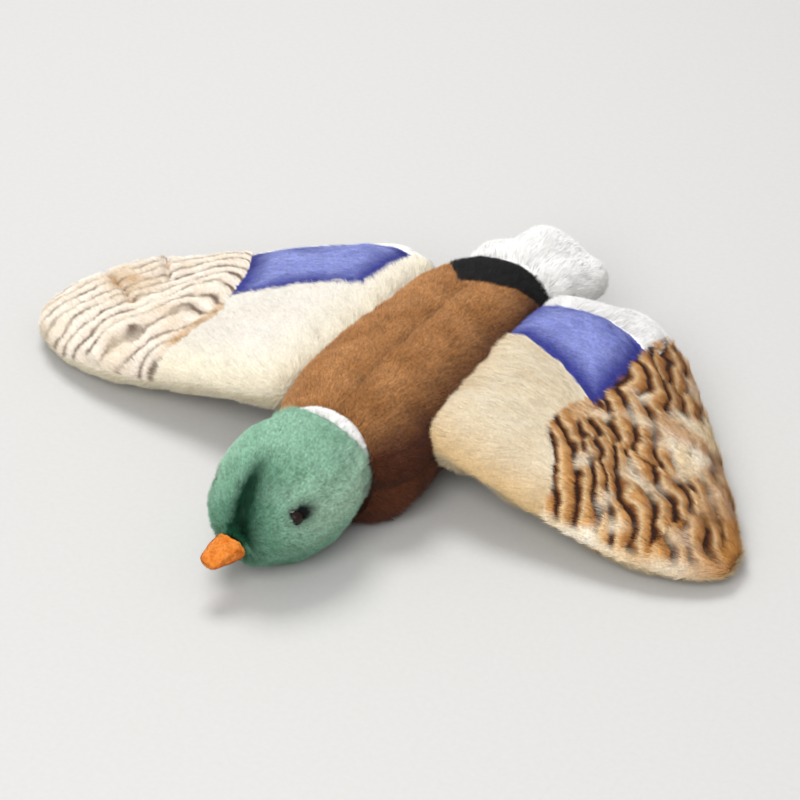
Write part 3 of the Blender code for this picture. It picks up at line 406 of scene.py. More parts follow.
def plush_panel(
    name, skin, panel, material, nap, pile, per_mm2, lift, seed,
    mark=None, shape=None, unruly=0.22, width=STRAND_WIDTH, bent=False,
):
    """One cloth panel with its pile: the skin's faces over the panel, and a strand at each of many places.

    nap gives the way the pile is combed at each point, and mark three numbers there that the material draws by. shape
    may change the length and the way of each strand. A bent strand has a knee, and a straight one is a single blade.
    """
    column = skin["panels"].index(panel)
    nearest = skin["near"].argmin(axis=1) == column
    cloth = skin["quads"][nearest[skin["quads"]].sum(axis=1) >= 2]
    used, cloth = np.unique(cloth, return_inverse=True)
    cloth = cloth.reshape(-1, 4)
    base = skin["points"][used]
    roots, normals, near, rng = scatter(skin, nearest & ~skin["bare"], per_mm2, seed)
    keep = near.argmin(axis=1) == column
    roots, normals, near = roots[keep], normals[keep], near[keep]
    count = len(roots)
    way = nap(roots)
    length = pile * rng.uniform(0.80, 1.10, count)
    if shape:
        length, way = shape(roots, near, length, way)
    tufts, locks = (
        np.stack([soft_noise(roots, size, seed + k) for k in steps], axis=1)
        for size, steps in ((TUFT_SIZE, (0, 1, 2)), (LOCK_SIZE, (3, 4, 5)))
    )
    way = unit(way) + unruly * (tufts + locks + rng.normal(0, 0.4, (count, 3)))
    way = unit(way - normals * (way * normals).sum(1, keepdims=True))
    side = np.cross(normals, way) * width / 2
    rise = lift * (1 + 0.3 * soft_noise(roots, TUFT_SIZE, seed + 6)[:, None] + rng.normal(0, 0.15, (count, 1)))
    length = length[:, None]
    foot = roots - normals * STRAND_SUNK
    if bent:
        first = way * np.cos(rise * 1.5) + normals * np.sin(rise * 1.5)
        second = way * np.cos(rise * 0.5) + normals * np.sin(rise * 0.5)
        middle = roots + first * length * STRAND_BEND_SHARE
        tip = middle + second * length * (1 - STRAND_BEND_SHARE)
        bend = side * STRAND_MIDDLE_WIDTH_SHARE
        strands = np.stack([foot - side, foot + side, middle - bend, middle + bend, tip], axis=1)
        heights = [0.0, 0.0, STRAND_BEND_SHARE, STRAND_BEND_SHARE, 1.0]
        parts = [[1, 0, 2, 3], [3, 2, 4]]
    else:
        tip = roots + (way * np.cos(rise) + normals * np.sin(rise)) * length
        strands = np.stack([foot - side, foot + side, tip], axis=1)
        heights = [0.0, 0.0, 1.0]
        parts = [[1, 0, 2]]
    each = len(heights)
    strands[:, :, 2] = np.maximum(strands[:, :, 2], rng.uniform(TABLE_CLEARANCE, CRUSHED_PILE, (count, 1)))
    start = len(base) + each * np.arange(count)[:, None]

    points = np.concatenate([base, strands.reshape(-1, 3)])
    corners = np.concatenate([cloth.ravel()] + [(start + np.array([part])).ravel() for part in parts])
    sizes = np.concatenate([np.full(len(cloth), 4)] + [np.full(count, len(part)) for part in parts])
    mesh = bpy.data.meshes.new(name)
    mesh.vertices.add(len(points))
    mesh.vertices.foreach_set("co", points.astype(np.float32).ravel())
    mesh.loops.add(len(corners))
    mesh.loops.foreach_set("vertex_index", corners.astype(np.int32))
    mesh.polygons.add(len(sizes))
    mesh.polygons.foreach_set("loop_start", (np.cumsum(sizes) - sizes).astype(np.int32))
    mesh.update(calc_edges=True)
    mesh.shade_smooth()
    facing = unit(normals + 0.25 * tufts + rng.normal(0, 0.25, (count, 3)))
    tone = 0.5 + 0.60 * soft_noise(roots, GRAIN_SIZE, seed + 7) + rng.uniform(-0.40, 0.40, count)
    drawn = {
        "custom_normal": (skin["normals"][used], np.repeat(facing, each, axis=0)),
        "root_place": (base, np.repeat(roots, each, axis=0)),
        "tone": (np.full(len(base), 0.5), np.repeat(tone, each)),
    }
    if mark:
        seen = roots[:, None] + MARKED_SHARE * np.array(heights)[:, None] * (tip - roots)[:, None]
        drawn["mark"] = (mark(base, skin["near"][used]), mark(seen.reshape(-1, 3), np.repeat(near, each, axis=0)))
    for label, (on_cloth, on_strands) in drawn.items():
        values = np.concatenate([on_cloth, on_strands]).astype(np.float32)
        kind, field = ("FLOAT_VECTOR", "vector") if values.ndim == 2 else ("FLOAT", "value")
        mesh.attributes.new(label, kind, "POINT").data.foreach_set(field, values.ravel())
    along = np.concatenate([np.zeros(len(base)), np.tile(heights, count)]).astype(np.float32)
    mesh.attributes.new("along", "FLOAT", "POINT").data.foreach_set("value", along)
    lay_flat(mesh, points, corners)
    mesh.materials.append(material)
    panel_piece = bpy.data.objects.new(name, mesh)
    bpy.context.scene.collection.objects.link(panel_piece)
    return panel_piece


def lay_flat(mesh, points, corners):
    """Map of a plush panel from above."""
    low, high = points[:, :2].min(axis=0), points[:, :2].max(axis=0)
    flat = (points[corners, :2] - low) / (high - low).max()
    mesh.uv_layers.new(name="OFBake").data.foreach_set("uv", flat.astype(np.float32).ravel())


def plush_material(
    name, root, tip, other_tip, patch_size, root_shade_share=0.35, sheen=0.04, pattern=None, grain=0.12, through=False
):
    """Knitted pile of acrylic or polyester fibre. The cloth between the strands and the foot of each strand are
    painted dark, a painted shade deep in the pile, and each strand grows lighter to its tip. Dye and nap vary softly
    in patches of patch_size, and by the share of grain from one strand to the next and from fleck to fleck. A pattern
    is drawn on the tips, or through to the cloth."""
    material, tree = new_material(name)
    roots = add_node(tree, "ShaderNodeAttribute", [("attribute_name", "root_place")]).outputs["Vector"]
    along = add_node(tree, "ShaderNodeAttribute", [("attribute_name", "along")]).outputs["Fac"]
    tone = add_node(tree, "ShaderNodeAttribute", [("attribute_name", "tone")]).outputs["Fac"]
    patches = add_node(
        tree, "ShaderNodeTexNoise", links=[("Vector", roots), ("Scale", 1 / patch_size), ("Detail", 3.0)]
    ).outputs["Fac"]
    wide = add_node(
        tree, "ShaderNodeMapRange", links=[("Value", patches), ("From Min", 0.35), ("From Max", 0.65)]
    ).outputs[0]
    tips = add_node(
        tree,
        "ShaderNodeMix",
        [("data_type", "RGBA")],
        [("Factor", wide), ("A", linear(tip)), ("B", linear(other_tip))],
    ).outputs[2]
    if pattern and not through:
        tips = pattern(tree, tips)
    # The root colour is painted shade deep in the pile; it gives way to the tip colour along each strand.
    lightened = add_node(
        tree, "ShaderNodeMapRange", links=[("Value", along), ("To Min", 1 - root_shade_share), ("To Max", 1.0)]
    ).outputs[0]
    dyed = add_node(
        tree,
        "ShaderNodeMix",
        [("data_type", "RGBA")],
        [("Factor", lightened), ("A", linear(root)), ("B", tips)],
    ).outputs[2]
    if pattern and through:
        dyed = pattern(tree, dyed)
    place = add_node(tree, "ShaderNodeTexCoord").outputs["Object"]
    flecks = add_node(tree, "ShaderNodeTexNoise", links=[("Vector", place), ("Scale", 1 / FLECK_SIZE)]).outputs["Fac"]
    level = add_node(
        tree, "ShaderNodeMath", [("operation", "MULTIPLY_ADD")], [(0, flecks), (1, FLECK_WEIGHT), (2, tone)]
    ).outputs[0]
    middle = (FLECK_WEIGHT + 1) / 2
    brightness = add_node(
        tree,
        "ShaderNodeMapRange",
        links=[
            ("Value", level),
            ("From Min", middle - 1),
            ("From Max", middle + 1),
            ("To Min", 1 - grain),
            ("To Max", 1 + grain),
        ],
    ).outputs[0]
    toned = add_node(tree, "ShaderNodeHueSaturation", links=[("Color", dyed), ("Value", brightness)]).outputs[0]
    roughness = add_node(
        tree, "ShaderNodeMapRange", links=[("Value", along), ("To Min", 0.95), ("To Max", 0.70)]
    ).outputs[0]
    fibre = add_node(
        tree,
        "ShaderNodeBsdfPrincipled",
        links=[
            ("Base Color", toned),
            ("Roughness", roughness),
            ("IOR", 1.5),
            ("Specular IOR Level", 0.25),
            ("Sheen Weight", sheen),
            ("Sheen Roughness", 0.5),
        ],
    )
    add_node(tree, "ShaderNodeOutputMaterial", links=[("Surface", fibre.outputs[0])])
    return material


BACK_PILE = 0.0085
BELLY_PILE = 0.0070
RUMP_PILE = 0.0080
# Where the black patch's front seam crosses the middle, and how fast it runs back to either side
RUMP_POINT = (-0.008, 0.0880)
RUMP_SLOPES = (1.30, 0.56)
RUMP_SEAM_LAST = 0.1230
BACK_GROOVE = 0.0018
BACK_SEAM_SHADE_WIDTH = 0.0016
COMBED_ASIDE = 6.0
COMBED_DOWN = -0.35
# The pile grows shorter where the body meets the tail
TAIL_ROOT_Y = 0.124
TAIL_ROOT_RUN = 0.030
TAIL_ROOT_PILE_SHARE = 0.35
# Where painted shade darkens the left side and the chest: axis, start and run of each ramp
PAINTED_SHADE_FLANK = ((0, 0.022, 0.020), (2, 0.082, -0.022))
PAINTED_SHADE_CHEST = ((0, 0.004, 0.022), (2, 0.070, -0.014), (1, -0.045, -0.020))


def pointed_rump(points, near):
    """The black patch is cut with a point that reaches forward on the middle of the back."""
    aside = points[:, 0] - RUMP_POINT[0]
    seam_y = RUMP_POINT[1] + np.where(aside < 0, -aside * RUMP_SLOPES[0], aside * RUMP_SLOPES[1])
    past_seam = points[:, 1] - np.minimum(seam_y, RUMP_SEAM_LAST)
    on_back = (near[:, 2] > SKIN_VOXEL) & (points[:, 1] > RUMP_POINT[1] - 2 * SKIN_VOXEL)
    for row in np.nonzero(on_back)[0]:
        panel = 0 if aside[row] > 0 else 1
        near[row, 3] = max(-past_seam[row], 0)
        near[row, panel] = max(past_seam[row], 0)
        near[row, 1 - panel] = max(past_seam[row], 0) + abs(aside[row])


body_skin = bag_skin(
    ["left_back_panel", "right_back_panel", "belly_panel", "rump_patch"],
    ["body_filling"],
    ["neck_ring", "tail_top_panel", "tail_underside"]
    + [
        side + "_wing_" + part
        for side in ("left", "right")
        for part in ("covert_panel", "underside", "rear_edge_panel")
    ],
    lumps=0.0010,
    lump_size=0.030,
    seed=1,
    groove=BACK_GROOVE,
    seams=pointed_rump,
)


def combed_back(points):
    """From the neck to the tail, and a little down the sides."""
    ways = np.zeros_like(points)
    ways[:, 1] = 1.0
    ways[:, 0] = points[:, 0] * COMBED_ASIDE
    ways[:, 2] = COMBED_DOWN
    return ways


def ramped(points, ramps):
    """Product of ramps from 0 to 1, each along one axis from its start. A run below 0 goes towards minus."""
    share = np.ones(len(points))
    for axis, start, run in ramps:
        share *= np.clip((points[:, axis] - start) / run, 0, 1)
    return share


def body_mark(points, near):
    """How much painted shade darkens the left flank and the chest, and the groove of the seam along the back."""
    flank = np.maximum(ramped(points, PAINTED_SHADE_FLANK), ramped(points, PAINTED_SHADE_CHEST))
    # Painted shade in the groove of the seam along the back.
    seam = np.exp(-(((near[:, 0] - near[:, 1]) / BACK_SEAM_SHADE_WIDTH) ** 2))
    seam *= np.minimum(near[:, 0], near[:, 1]) < 2.5 * BACK_SEAM_SHADE_WIDTH
    return np.stack([flank, 0.5 * seam, np.zeros(len(points))], axis=1)


def short_at_tail(roots, near, length, way):
    return length * np.clip(1 - (roots[:, 1] - TAIL_ROOT_Y) / TAIL_ROOT_RUN, TAIL_ROOT_PILE_SHARE, 1), way


def tinted(*colours):
    """Pattern that mixes in a colour for each of the mark's numbers, by as much as that number."""

    def pattern(tree, tips):
        mark = add_node(tree, "ShaderNodeAttribute", [("attribute_name", "mark")]).outputs["Vector"]
        amounts = add_node(tree, "ShaderNodeSeparateXYZ", links=[("Vector", mark)]).outputs
        for amount, colour in zip(amounts, colours):
            tips = add_node(
                tree,
                "ShaderNodeMix",
                [("data_type", "RGBA")],
                [("Factor", amount), ("A", tips), ("B", linear(colour))],
            ).outputs[2]
        return tips

    return pattern


# Its two tints are painted shade: on the left flank and the chest, which turn from the lamps, and in the groove of
# the seam along the back.
back_plush = plush_material(
    "acrylic_pile_brown", "#472510", "#be8650", "#a6703c", 0.024, 0.45,
    pattern=tinted("#4f2713", "#3a1f0e"), grain=0.46,
)
belly_plush = plush_material("acrylic_pile_dark_brown", "#2a130a", "#643519", "#532a15", 0.030, grain=0.40)
rump_plush = plush_material("acrylic_pile_black", "#060606", "#131213", "#1b191a", 0.020, sheen=0.0, grain=0.60)
for side in ("left", "right"):
    node = side + "_back_panel"
    piece = plush_panel(
        node + "_plush", body_skin, node, back_plush, combed_back, BACK_PILE,
        per_mm2=4.6, lift=0.42, seed=11, mark=body_mark, unruly=0.14,
    )
    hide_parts(node)
    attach(piece, "body")
piece = plush_panel(
    "belly_panel_plush", body_skin, "belly_panel", belly_plush, combed_back, BELLY_PILE,
    per_mm2=2.4, lift=0.40, seed=13, unruly=0.14,
)
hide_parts("belly_panel", "body_filling")
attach(piece, "body")
piece = plush_panel(
    "rump_patch_plush", body_skin, "rump_patch", rump_plush, combed_back, RUMP_PILE,
    per_mm2=4.6, lift=0.42, seed=14, shape=short_at_tail, unruly=0.14,
)
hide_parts("rump_patch")
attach(piece, "body")


# The neck is a stuffed band of white plush, sewn between the head and the hollow front of the body. Only its edge
# shows, as a collar.

NECK_PILE = 0.0045


def combed(way):
    """Nap that lies one way all over a panel."""
    return lambda points: np.tile(way, (len(points), 1))


neck_skin = bag_skin(
    ["neck_ring"], ["neck_filling"], ["left_head_panel", "right_head_panel"],
    lumps=0.0, lump_size=0.010, seed=2, voxel=0.0020, puff=False,
)
white_plush = plush_material("polyester_pile_white", "#e9e7e3", "#f7f6f3", "#f2f1ee", 0.020, sheen=0.0, grain=0.03)
piece = plush_panel(
    "neck_ring_plush", neck_skin, "neck_ring", white_plush, combed((0.0, 1.0, 0.0)), NECK_PILE,
    per_mm2=5.0, lift=0.40, seed=21, unruly=0.06,
)
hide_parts("neck_ring", "neck_filling")
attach(piece, "neck")


# The head is two panels of short green plush, sewn along the forehead, the crown and the nape. The thread that pulls
# the eyes together also draws the forehead in, so the seam lies in a crease above the bill.

HEAD_PILE = 0.0062
EYE_RADIUS = 0.0048
EYE_SLIT_AXIS = (0.52, 0.80, 0.29)
CREASE_DEPTH = 0.0062
CREASE_WIDTH = 0.0056
DIMPLE_DEPTH = 0.0022
DIMPLE_WIDTH = 0.0100
# The collar shows at one side of the nape only; elsewhere the head's pile is long enough to hide it
COLLAR_SHOWS_AT = np.array([0.010, 0.0, 0.072])
COLLAR_SHOWN_WIDTH = 0.026
COLLAR_PILE_SHARE = 1.9
COLLAR_REACH = 0.012
CREASE_SHADE_WIDTHS = (0.0120, 0.0050)
BILL_SHADE_WIDTH = 0.016
# Painted shade in the hollow of each eye: its shift along the slit, its length and its width
HOLLOW_SHIFT = 0.0038
HOLLOW_LENGTH = 0.0080
HOLLOW_WIDTH = 0.0054
bill_low, bill_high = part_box("upper_bill")
bill_root = np.array([(bill_low.x + bill_high.x) / 2 + 0.002, bill_high.y - 0.004, bill_low.z])
eye_points = [np.array((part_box(side + "_eye")[0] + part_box(side + "_eye")[1]) / 2) for side in ("left", "right")]
ring_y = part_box("neck_ring")[0].y
# Ramps of the crease above the bill, of the painted light on the cheeks, and of the crown, where that painted light
# is less
CREASE_RAMPS = ((2, bill_root[2], 0.012), (1, bill_root[1] + 0.0425, -0.034))
PAINTED_LIGHT_CHEEKS = ((1, eye_points[0][1] - 0.018, 0.030), (2, 0.020, 0.025))
CROWN = ((2, 0.055, 0.022),)


def combed_from_bill(points):
    """Away from the bill, over the cheeks and the crown to the nape."""
    ways = unit(points - bill_root)
    ways[:, 1] += 0.8
    return ways


def crease_share(points, near, left_width, right_width):
    """How far the crease along the forehead's seam is drawn in, most a little above the bill."""
    to_seam = near[:, 1] - near[:, 0]
    width = np.where(to_seam > 0, left_width, right_width)
    return ramped(points, CREASE_RAMPS) * np.exp(-((to_seam / width) ** 2))


def drawn_in(points, near):
    """Crease over the bill, and a dimple round each eye where its thread pulls."""
    depth = CREASE_DEPTH * crease_share(points, near, CREASE_WIDTH, CREASE_WIDTH)
    for eye in eye_points:
        far = np.linalg.norm(points - eye, axis=1)
        depth = depth + DIMPLE_DEPTH * np.exp(-((far / DIMPLE_WIDTH) ** 2)) * (points[:, 1] > eye[1] - EYE_RADIUS)
    return -depth


def round_eyes(roots, near, length, way):
    """The pile parts in front of and behind each eye, and hangs over it from above and below. By the collar it is
    longer."""
    for eye in eye_points:
        away = roots - eye
        far = np.linalg.norm(away, axis=1)
        along = away @ (np.array(EYE_SLIT_AXIS) * (np.sign(eye[0]), 1, 1))
        across = np.sqrt(np.maximum(far**2 - along**2, 0))
        oval = np.sqrt(along**2 + (across / 0.80) ** 2)
        length = length * np.clip((oval - 0.8 * EYE_RADIUS) / (0.9 * EYE_RADIUS), 0, 1)
        share_along = (np.abs(along) / EYE_RADIUS)[:, None]
        share_away = (far / EYE_RADIUS)[:, None]
        over = 0.5 * np.exp(-(((share_away - 1.25) / 0.6) ** 2)) * np.clip(1.1 - share_along, 0, 1)
        way = unit(way) * (1 - over) - unit(away) * over
        beside = np.exp(-((share_away / 2) ** 2)) * np.clip(share_along, 0, 1)
        way = unit(way) * (1 - 0.5 * beside) + unit(away) * 0.9 * beside
    to_ring = np.clip(1 - np.abs(roots[:, 1] - ring_y) / COLLAR_REACH, 0, 1)
    aside = np.linalg.norm((roots - COLLAR_SHOWS_AT) * (1, 0, 1), axis=1)
    shown = np.exp(-((aside / COLLAR_SHOWN_WIDTH) ** 2))
    length = length * (1 + COLLAR_PILE_SHARE * to_ring * (1 - shown)) * (1 - 0.45 * to_ring * shown)
    return length, way


def head_mark(points, near):
    """How much painted shade lies in the crease and beside the bill, how much painted light lies on the cheeks and
    the crown, and how much painted shade lies in the hollow of each eye.
    """
    # Painted light on the cheeks and, less of it, on the crown.
    light = ramped(points, PAINTED_LIGHT_CHEEKS) * (1 - 0.7 * ramped(points, CROWN))
    hollow = np.zeros(len(points))
    for eye in eye_points:
        away = points - eye
        along = away @ (np.array(EYE_SLIT_AXIS) * (np.sign(eye[0]), 1, 1))
        across = np.maximum((away**2).sum(axis=1) - along**2, 0)
        # Painted shade in the hollow round each eye.
        hollow += np.exp(-(((along - HOLLOW_SHIFT) / HOLLOW_LENGTH) ** 2) - across / HOLLOW_WIDTH**2)
    # Painted shade in the forehead's crease and beside the bill.
    by_bill = 0.8 * np.exp(-((np.linalg.norm(points - bill_root, axis=1) / BILL_SHADE_WIDTH) ** 2))
    dark = np.clip(np.maximum(1.7 * crease_share(points, near, *CREASE_SHADE_WIDTHS), by_bill), 0, 1)
    return np.stack([dark, 0.9 * light * (1 - dark), np.clip(1.9 * hollow, 0, 1)], axis=1)


head_skin = bag_skin(
    ["left_head_panel", "right_head_panel"],
    ["head_filling"],
    ["neck_ring", "upper_bill", "lower_bill"],
    lumps=0.0007,
    lump_size=0.022,
    seed=3,
    voxel=0.0024,
    relief=drawn_in,
)
# Its three tints are painted shade in the crease and beside the bill, painted light on the cheeks and the crown, and
# painted shade in the hollow of each eye.
green_plush = plush_material(
    "polyester_pile_green", "#1d5c40", "#92c4a8", "#78b191", 0.018, root_shade_share=0.6, sheen=0.02,
    pattern=tinted("#063d26", "#b8dac0", "#0b120f"), grain=0.36, through=True,
)
for side in ("left", "right"):
    node = side + "_head_panel"
    piece = plush_panel(
        node + "_plush", head_skin, node, green_plush, combed_from_bill, HEAD_PILE,
        per_mm2=6.5, lift=0.60, seed=31, mark=head_mark, shape=round_eyes, width=0.00038,
    )
    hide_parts(node, *(["head_filling"] if side == "left" else []))
    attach(piece, "head")


# The bill is two small pieces of orange brushed knit, sewn round their edge and stuffed.

BILL_PILE = 0.0011
BILL_FIBRE_WIDTH = 0.00022

bill_skin = bag_skin(
    ["upper_bill", "lower_bill"],
    ["bill_filling"],
    ["left_head_panel", "right_head_panel"],
    lumps=0.0003,
    lump_size=0.006,
    seed=4,
    voxel=0.0010,
    puff=False,
)
orange_knit = plush_material("brushed_knit_orange", "#b85a16", "#f5a44c", "#ea8a2c", 0.004, grain=0.20)
for node in ("upper_bill", "lower_bill"):
    piece = plush_panel(
        node + "_cloth", bill_skin, node, orange_knit, combed((-0.2, -1.0, 0.0)), BILL_PILE,
        per_mm2=14.0, lift=0.6, seed=41, unruly=0.5, width=BILL_FIBRE_WIDTH,
    )
    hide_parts(node, *(["bill_filling"] if node == "upper_bill" else []))
    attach(piece, "head")


# Each eye is a domed button of dark brown ABS, moulded and polished, and its stem is held behind the cloth by a
# pressed washer of nylon. The dome mirrors the lamps as one small light.

EYE_CLOUD_SIZE = 0.003
WASHER_GRAIN = 0.0015

eye_material, tree = new_material("abs_polished_dark_brown")
eye_place = add_node(tree, "ShaderNodeTexCoord").outputs["Object"]
eye_cloud = add_node(
    tree, "ShaderNodeTexNoise", links=[("Vector", eye_place), ("Scale", 1 / EYE_CLOUD_SIZE)]
).outputs["Fac"]
eye_tint = add_node(
    tree,
    "ShaderNodeMix",
    [("data_type", "RGBA")],
    [("Factor", eye_cloud), ("A", linear("#120806")), ("B", linear("#24110a"))],
).outputs[2]
eye_surface = add_node(
    tree,
    "ShaderNodeBsdfPrincipled",
    links=[("Base Color", eye_tint), ("Roughness", 0.22), ("Specular IOR Level", 0.25)],
)
add_node(tree, "ShaderNodeOutputMaterial", links=[("Surface", eye_surface.outputs[0])])
washer_material, tree = new_material("nylon_moulded_natural")
washer_place = add_node(tree, "ShaderNodeTexCoord").outputs["Object"]
washer_grain = add_node(
    tree, "ShaderNodeTexNoise", links=[("Vector", washer_place), ("Scale", 1 / WASHER_GRAIN)]
).outputs["Fac"]
washer_tint = add_node(
    tree,
    "ShaderNodeMix",
    [("data_type", "RGBA")],
    [("Factor", washer_grain), ("A", linear("#d9d7cc")), ("B", linear("#e6e4da"))],
).outputs[2]
washer_surface = add_node(tree, "ShaderNodeBsdfPrincipled", links=[("Base Color", washer_tint), ("Roughness", 0.45)])
add_node(tree, "ShaderNodeOutputMaterial", links=[("Surface", washer_surface.outputs[0])])
for side in ("left", "right"):
    for node, material in ((side + "_eye", eye_material), (side + "_eye_washer", washer_material)):
        frame["nodes"][node].data.materials.clear()
        frame["nodes"][node].data.materials.append(material)


# Each wing is a flat bag: four panels on top, cream over the shoulder, blue in the middle, white along the rear edge
# and striped at the tip, and one cream panel underneath. The stripes are printed, and the striped pile is pressed
# in waves, so that it lies in ridges. On the left tip the stripes' colours also follow the ridges, with painted shade
# in each groove and a painted highlight on each crest.

WING_PILE = 0.0085
BLUE_PILE = 0.0062
EDGE_PILE = 0.0075
TIP_PILE = 0.0098
UNDERSIDE_PILE = 0.0070
UNRULY = {"covert_panel": 0.30, "tip_panel": 0.24}
LEFT_RIDGE_SPACING = 0.0132
LEFT_RIDGE_HEIGHT = 0.0032
LEFT_ACROSS_RIDGES = np.array([0.775, 0.631, 0.0])
RIGHT_RIDGE_HEIGHT = 0.0006
RIGHT_RING_CENTRE = np.array([-0.150, -0.078])
RIGHT_RING_SPACING = np.array([0.0135, 0.0178])
# How far the stripes stray, in stripes, over what length, and the seed of each
LEFT_WAVERS = ((0.48, 0.036, 51), (0.28, 0.014, 52), (0.12, 0.004, 56))
RIGHT_WAVERS = ((0.46, 0.036, 61), (0.28, 0.013, 62), (0.10, 0.004, 63))
# Where the striped panel's seam runs on top of each wing, from front to rear, as Y and X
TIP_SEAMS = {
    "left": (
        (-0.0794, 0.1546), (-0.0705, 0.1547), (-0.0591, 0.1535), (-0.0508, 0.1510), (-0.0405, 0.1461),
        (-0.0298, 0.1366), (-0.0207, 0.1308), (-0.0104, 0.1282), (0.0099, 0.1307), (0.0302, 0.1341),
    ),
    "right": (
        (-0.0774, -0.1535), (-0.0647, -0.1558), (-0.0576, -0.1536), (-0.0459, -0.1497), (-0.0314, -0.1453),
        (-0.0196, -0.1408), (-0.0041, -0.1387), (0.0076, -0.1447), (0.0269, -0.1543),
    ),
}
# Folds of the right tip, from end to end
RIGHT_FOLDS = (((-0.2474, 0.0769), (-0.214, 0.0367)), ((-0.2867, 0.0519), (-0.2195, 0.0004)))
FOLD_DEPTH = 0.0042
FOLD_WIDTH = 0.0030
# Patches of each striped tip where its print is bare, bold or golden: X, Y, width and share
LEFT_BARE = ((0.192, 0.056, 0.018, 0.9), (0.207, 0.026, 0.016, 0.9))
LEFT_GOLD = ((0.141, 0.126, 0.034, 1.0), (0.134, -0.013, 0.018, 1.0), (0.258, -0.014, 0.034, 0.9))
RIGHT_BARE = ((-0.262, 0.046, 0.020, 0.7),)
RIGHT_BOLD = ((-0.231, -0.014, 0.012, 0.5),)
RIGHT_GOLD = ((-0.240, 0.030, 0.022, 0.5),)
RIGHT_GOLD_SEAM_WIDTH = 0.008
RIGHT_GOLD_SEAM_ENDS = ((1, -0.065, 0.020), (1, 0.012, -0.010))
COVERT_GOLD_AND_LIGHT_WIDTH = 0.024
BLUE_EDGE_SHADE_WIDTH = 0.016
ROOT_TUFT_WIDTH = 0.012


def wing_axes(side):
    """Hinge, outward direction and rearward direction of a wing, from its joint."""
    joint = next(joint for joint in frame["joints"] if joint["name"] == side + "_wing_flap")
    hinge = np.array(joint["pos_m"])
    axis = np.array(joint["axis"])
    rear = axis * np.sign(axis[1])
    out = np.array([rear[1], -rear[0], 0.0]) * np.sign(hinge[0])
    return hinge, out, rear


def patches(points, places):
    """Sum of round patches on a wing, which fade out to their edges."""
    total = np.zeros(len(points))
    for x, y, width, share in places:
        total += share * np.exp(-(((points[:, 0] - x) ** 2 + (points[:, 1] - y) ** 2) / width**2))
    return total


def wavering(points, wavers):
    """How far the stripes stray to either side, in stripes."""
    return sum(share * soft_noise(points, size, seed) for share, size, seed in wavers)


def left_stripes(points):
    """Ridges passed on the way across them. They waver, and break off along a line and go on beside it."""
    flat = points * (1, 1, 0)
    passed = flat @ LEFT_ACROSS_RIDGES / LEFT_RIDGE_SPACING
    return passed + wavering(flat, LEFT_WAVERS) + 0.5 * (soft_noise(flat, 0.046, 53) > 0.10)


def right_stripes(points):
    """Rings passed on the way out from the front end of the striped panel's seam."""
    flat = points * (1, 1, 0)
    ring = np.linalg.norm((flat[:, :2] - RIGHT_RING_CENTRE) / RIGHT_RING_SPACING, axis=1)
    return ring + wavering(flat, RIGHT_WAVERS)


def ridge(phase):
    """Height of a ridge from 0 to 1: it rises fast and falls slowly."""
    part = phase - np.floor(phase)
    return np.sin(math.pi / 2 * np.where(part < 0.30, part / 0.30, (1 - part) / 0.70))


def right_folds(points):
    """1 along the folds of the right tip, falling to 0 beside them."""
    share = np.zeros(len(points))
    for start, end in RIGHT_FOLDS:
        start, run = np.array(start), np.subtract(end, start)
        along = np.clip((points[:, :2] - start) @ run / (run @ run), 0, 1)
        far = np.linalg.norm(points[:, :2] - start - along[:, None] * run, axis=1)
        share = np.maximum(share, np.exp(-((far / FOLD_WIDTH) ** 2)))
    return share


def left_tip_mark(points, near):
    """Ridge passed, strength of the print and amount of gold. The print is weak along the wing's edge."""
    strength = 1 - 0.9 * np.exp(-((near[:, 4] / 0.009) ** 2)) - patches(points, LEFT_BARE)
    strength *= 0.95 + 0.85 * soft_noise(points, 0.013, 54)
    gold = patches(points, LEFT_GOLD) + 0.9 * np.clip(soft_noise(points, 0.022, 55), 0, 1)
    return np.stack([left_stripes(points), np.clip(2.2 * strength - 0.7, 0, 1), np.clip(gold, 0, 1)], axis=1)


def right_tip_mark(points, near):
    """The same for the right wing, whose print is fainter. Gold runs along the seam to the coverts, and along the
    folds it is laid as painted shade in the folds.
    """
    strength = 0.72 + 0.45 * soft_noise(points, 0.030, 64) + 0.60 * soft_noise(points, 0.011, 65)
    strength += patches(points, RIGHT_BOLD) - patches(points, RIGHT_BARE) - 0.3 * np.exp(-((near[:, 4] / 0.008) ** 2))
    by_seam = np.exp(-((near[:, 0] / RIGHT_GOLD_SEAM_WIDTH) ** 2)) * (near[:, 3] < 0.001)
    by_seam *= ramped(points, RIGHT_GOLD_SEAM_ENDS)
    strength = np.clip(strength, 0, 1) * (1 - 0.8 * by_seam)
    # Along the folds the gold is painted shade in the folds.
    gold = 0.6 * by_seam + patches(points, RIGHT_GOLD) + 0.6 * right_folds(points)
    gold += 0.4 * np.clip(soft_noise(points, 0.020, 66), 0, 1)
    return np.stack([right_stripes(points), strength, np.clip(gold, 0, 1)], axis=1)


def covert_mark(points, near):
    """How far the pile changes towards the wing's edge: on the left wing it turns golden, and on the right wing it
    turns lighter, a painted light on the edge's slope, which lies in shade.
    """
    gold_and_painted_shading = np.exp(-((near[:, 4] / COVERT_GOLD_AND_LIGHT_WIDTH) ** 2))
    return np.stack([gold_and_painted_shading, np.zeros(len(points)), np.zeros(len(points))], axis=1)


def blue_mark(points, near):
    """How far painted shade darkens the blue towards the patch's seams, where its pile leans over, most at the front.
    """
    to_seam = np.minimum(near[:, 0], near[:, 3])
    dark = np.clip(1.4 - to_seam / BLUE_EDGE_SHADE_WIDTH, 0, 1) + 0.35 * np.exp(-((near[:, 2] / 0.006) ** 2))
    return np.stack([0.9 * np.clip(dark, 0, 1), np.zeros(len(points)), np.zeros(len(points))], axis=1)


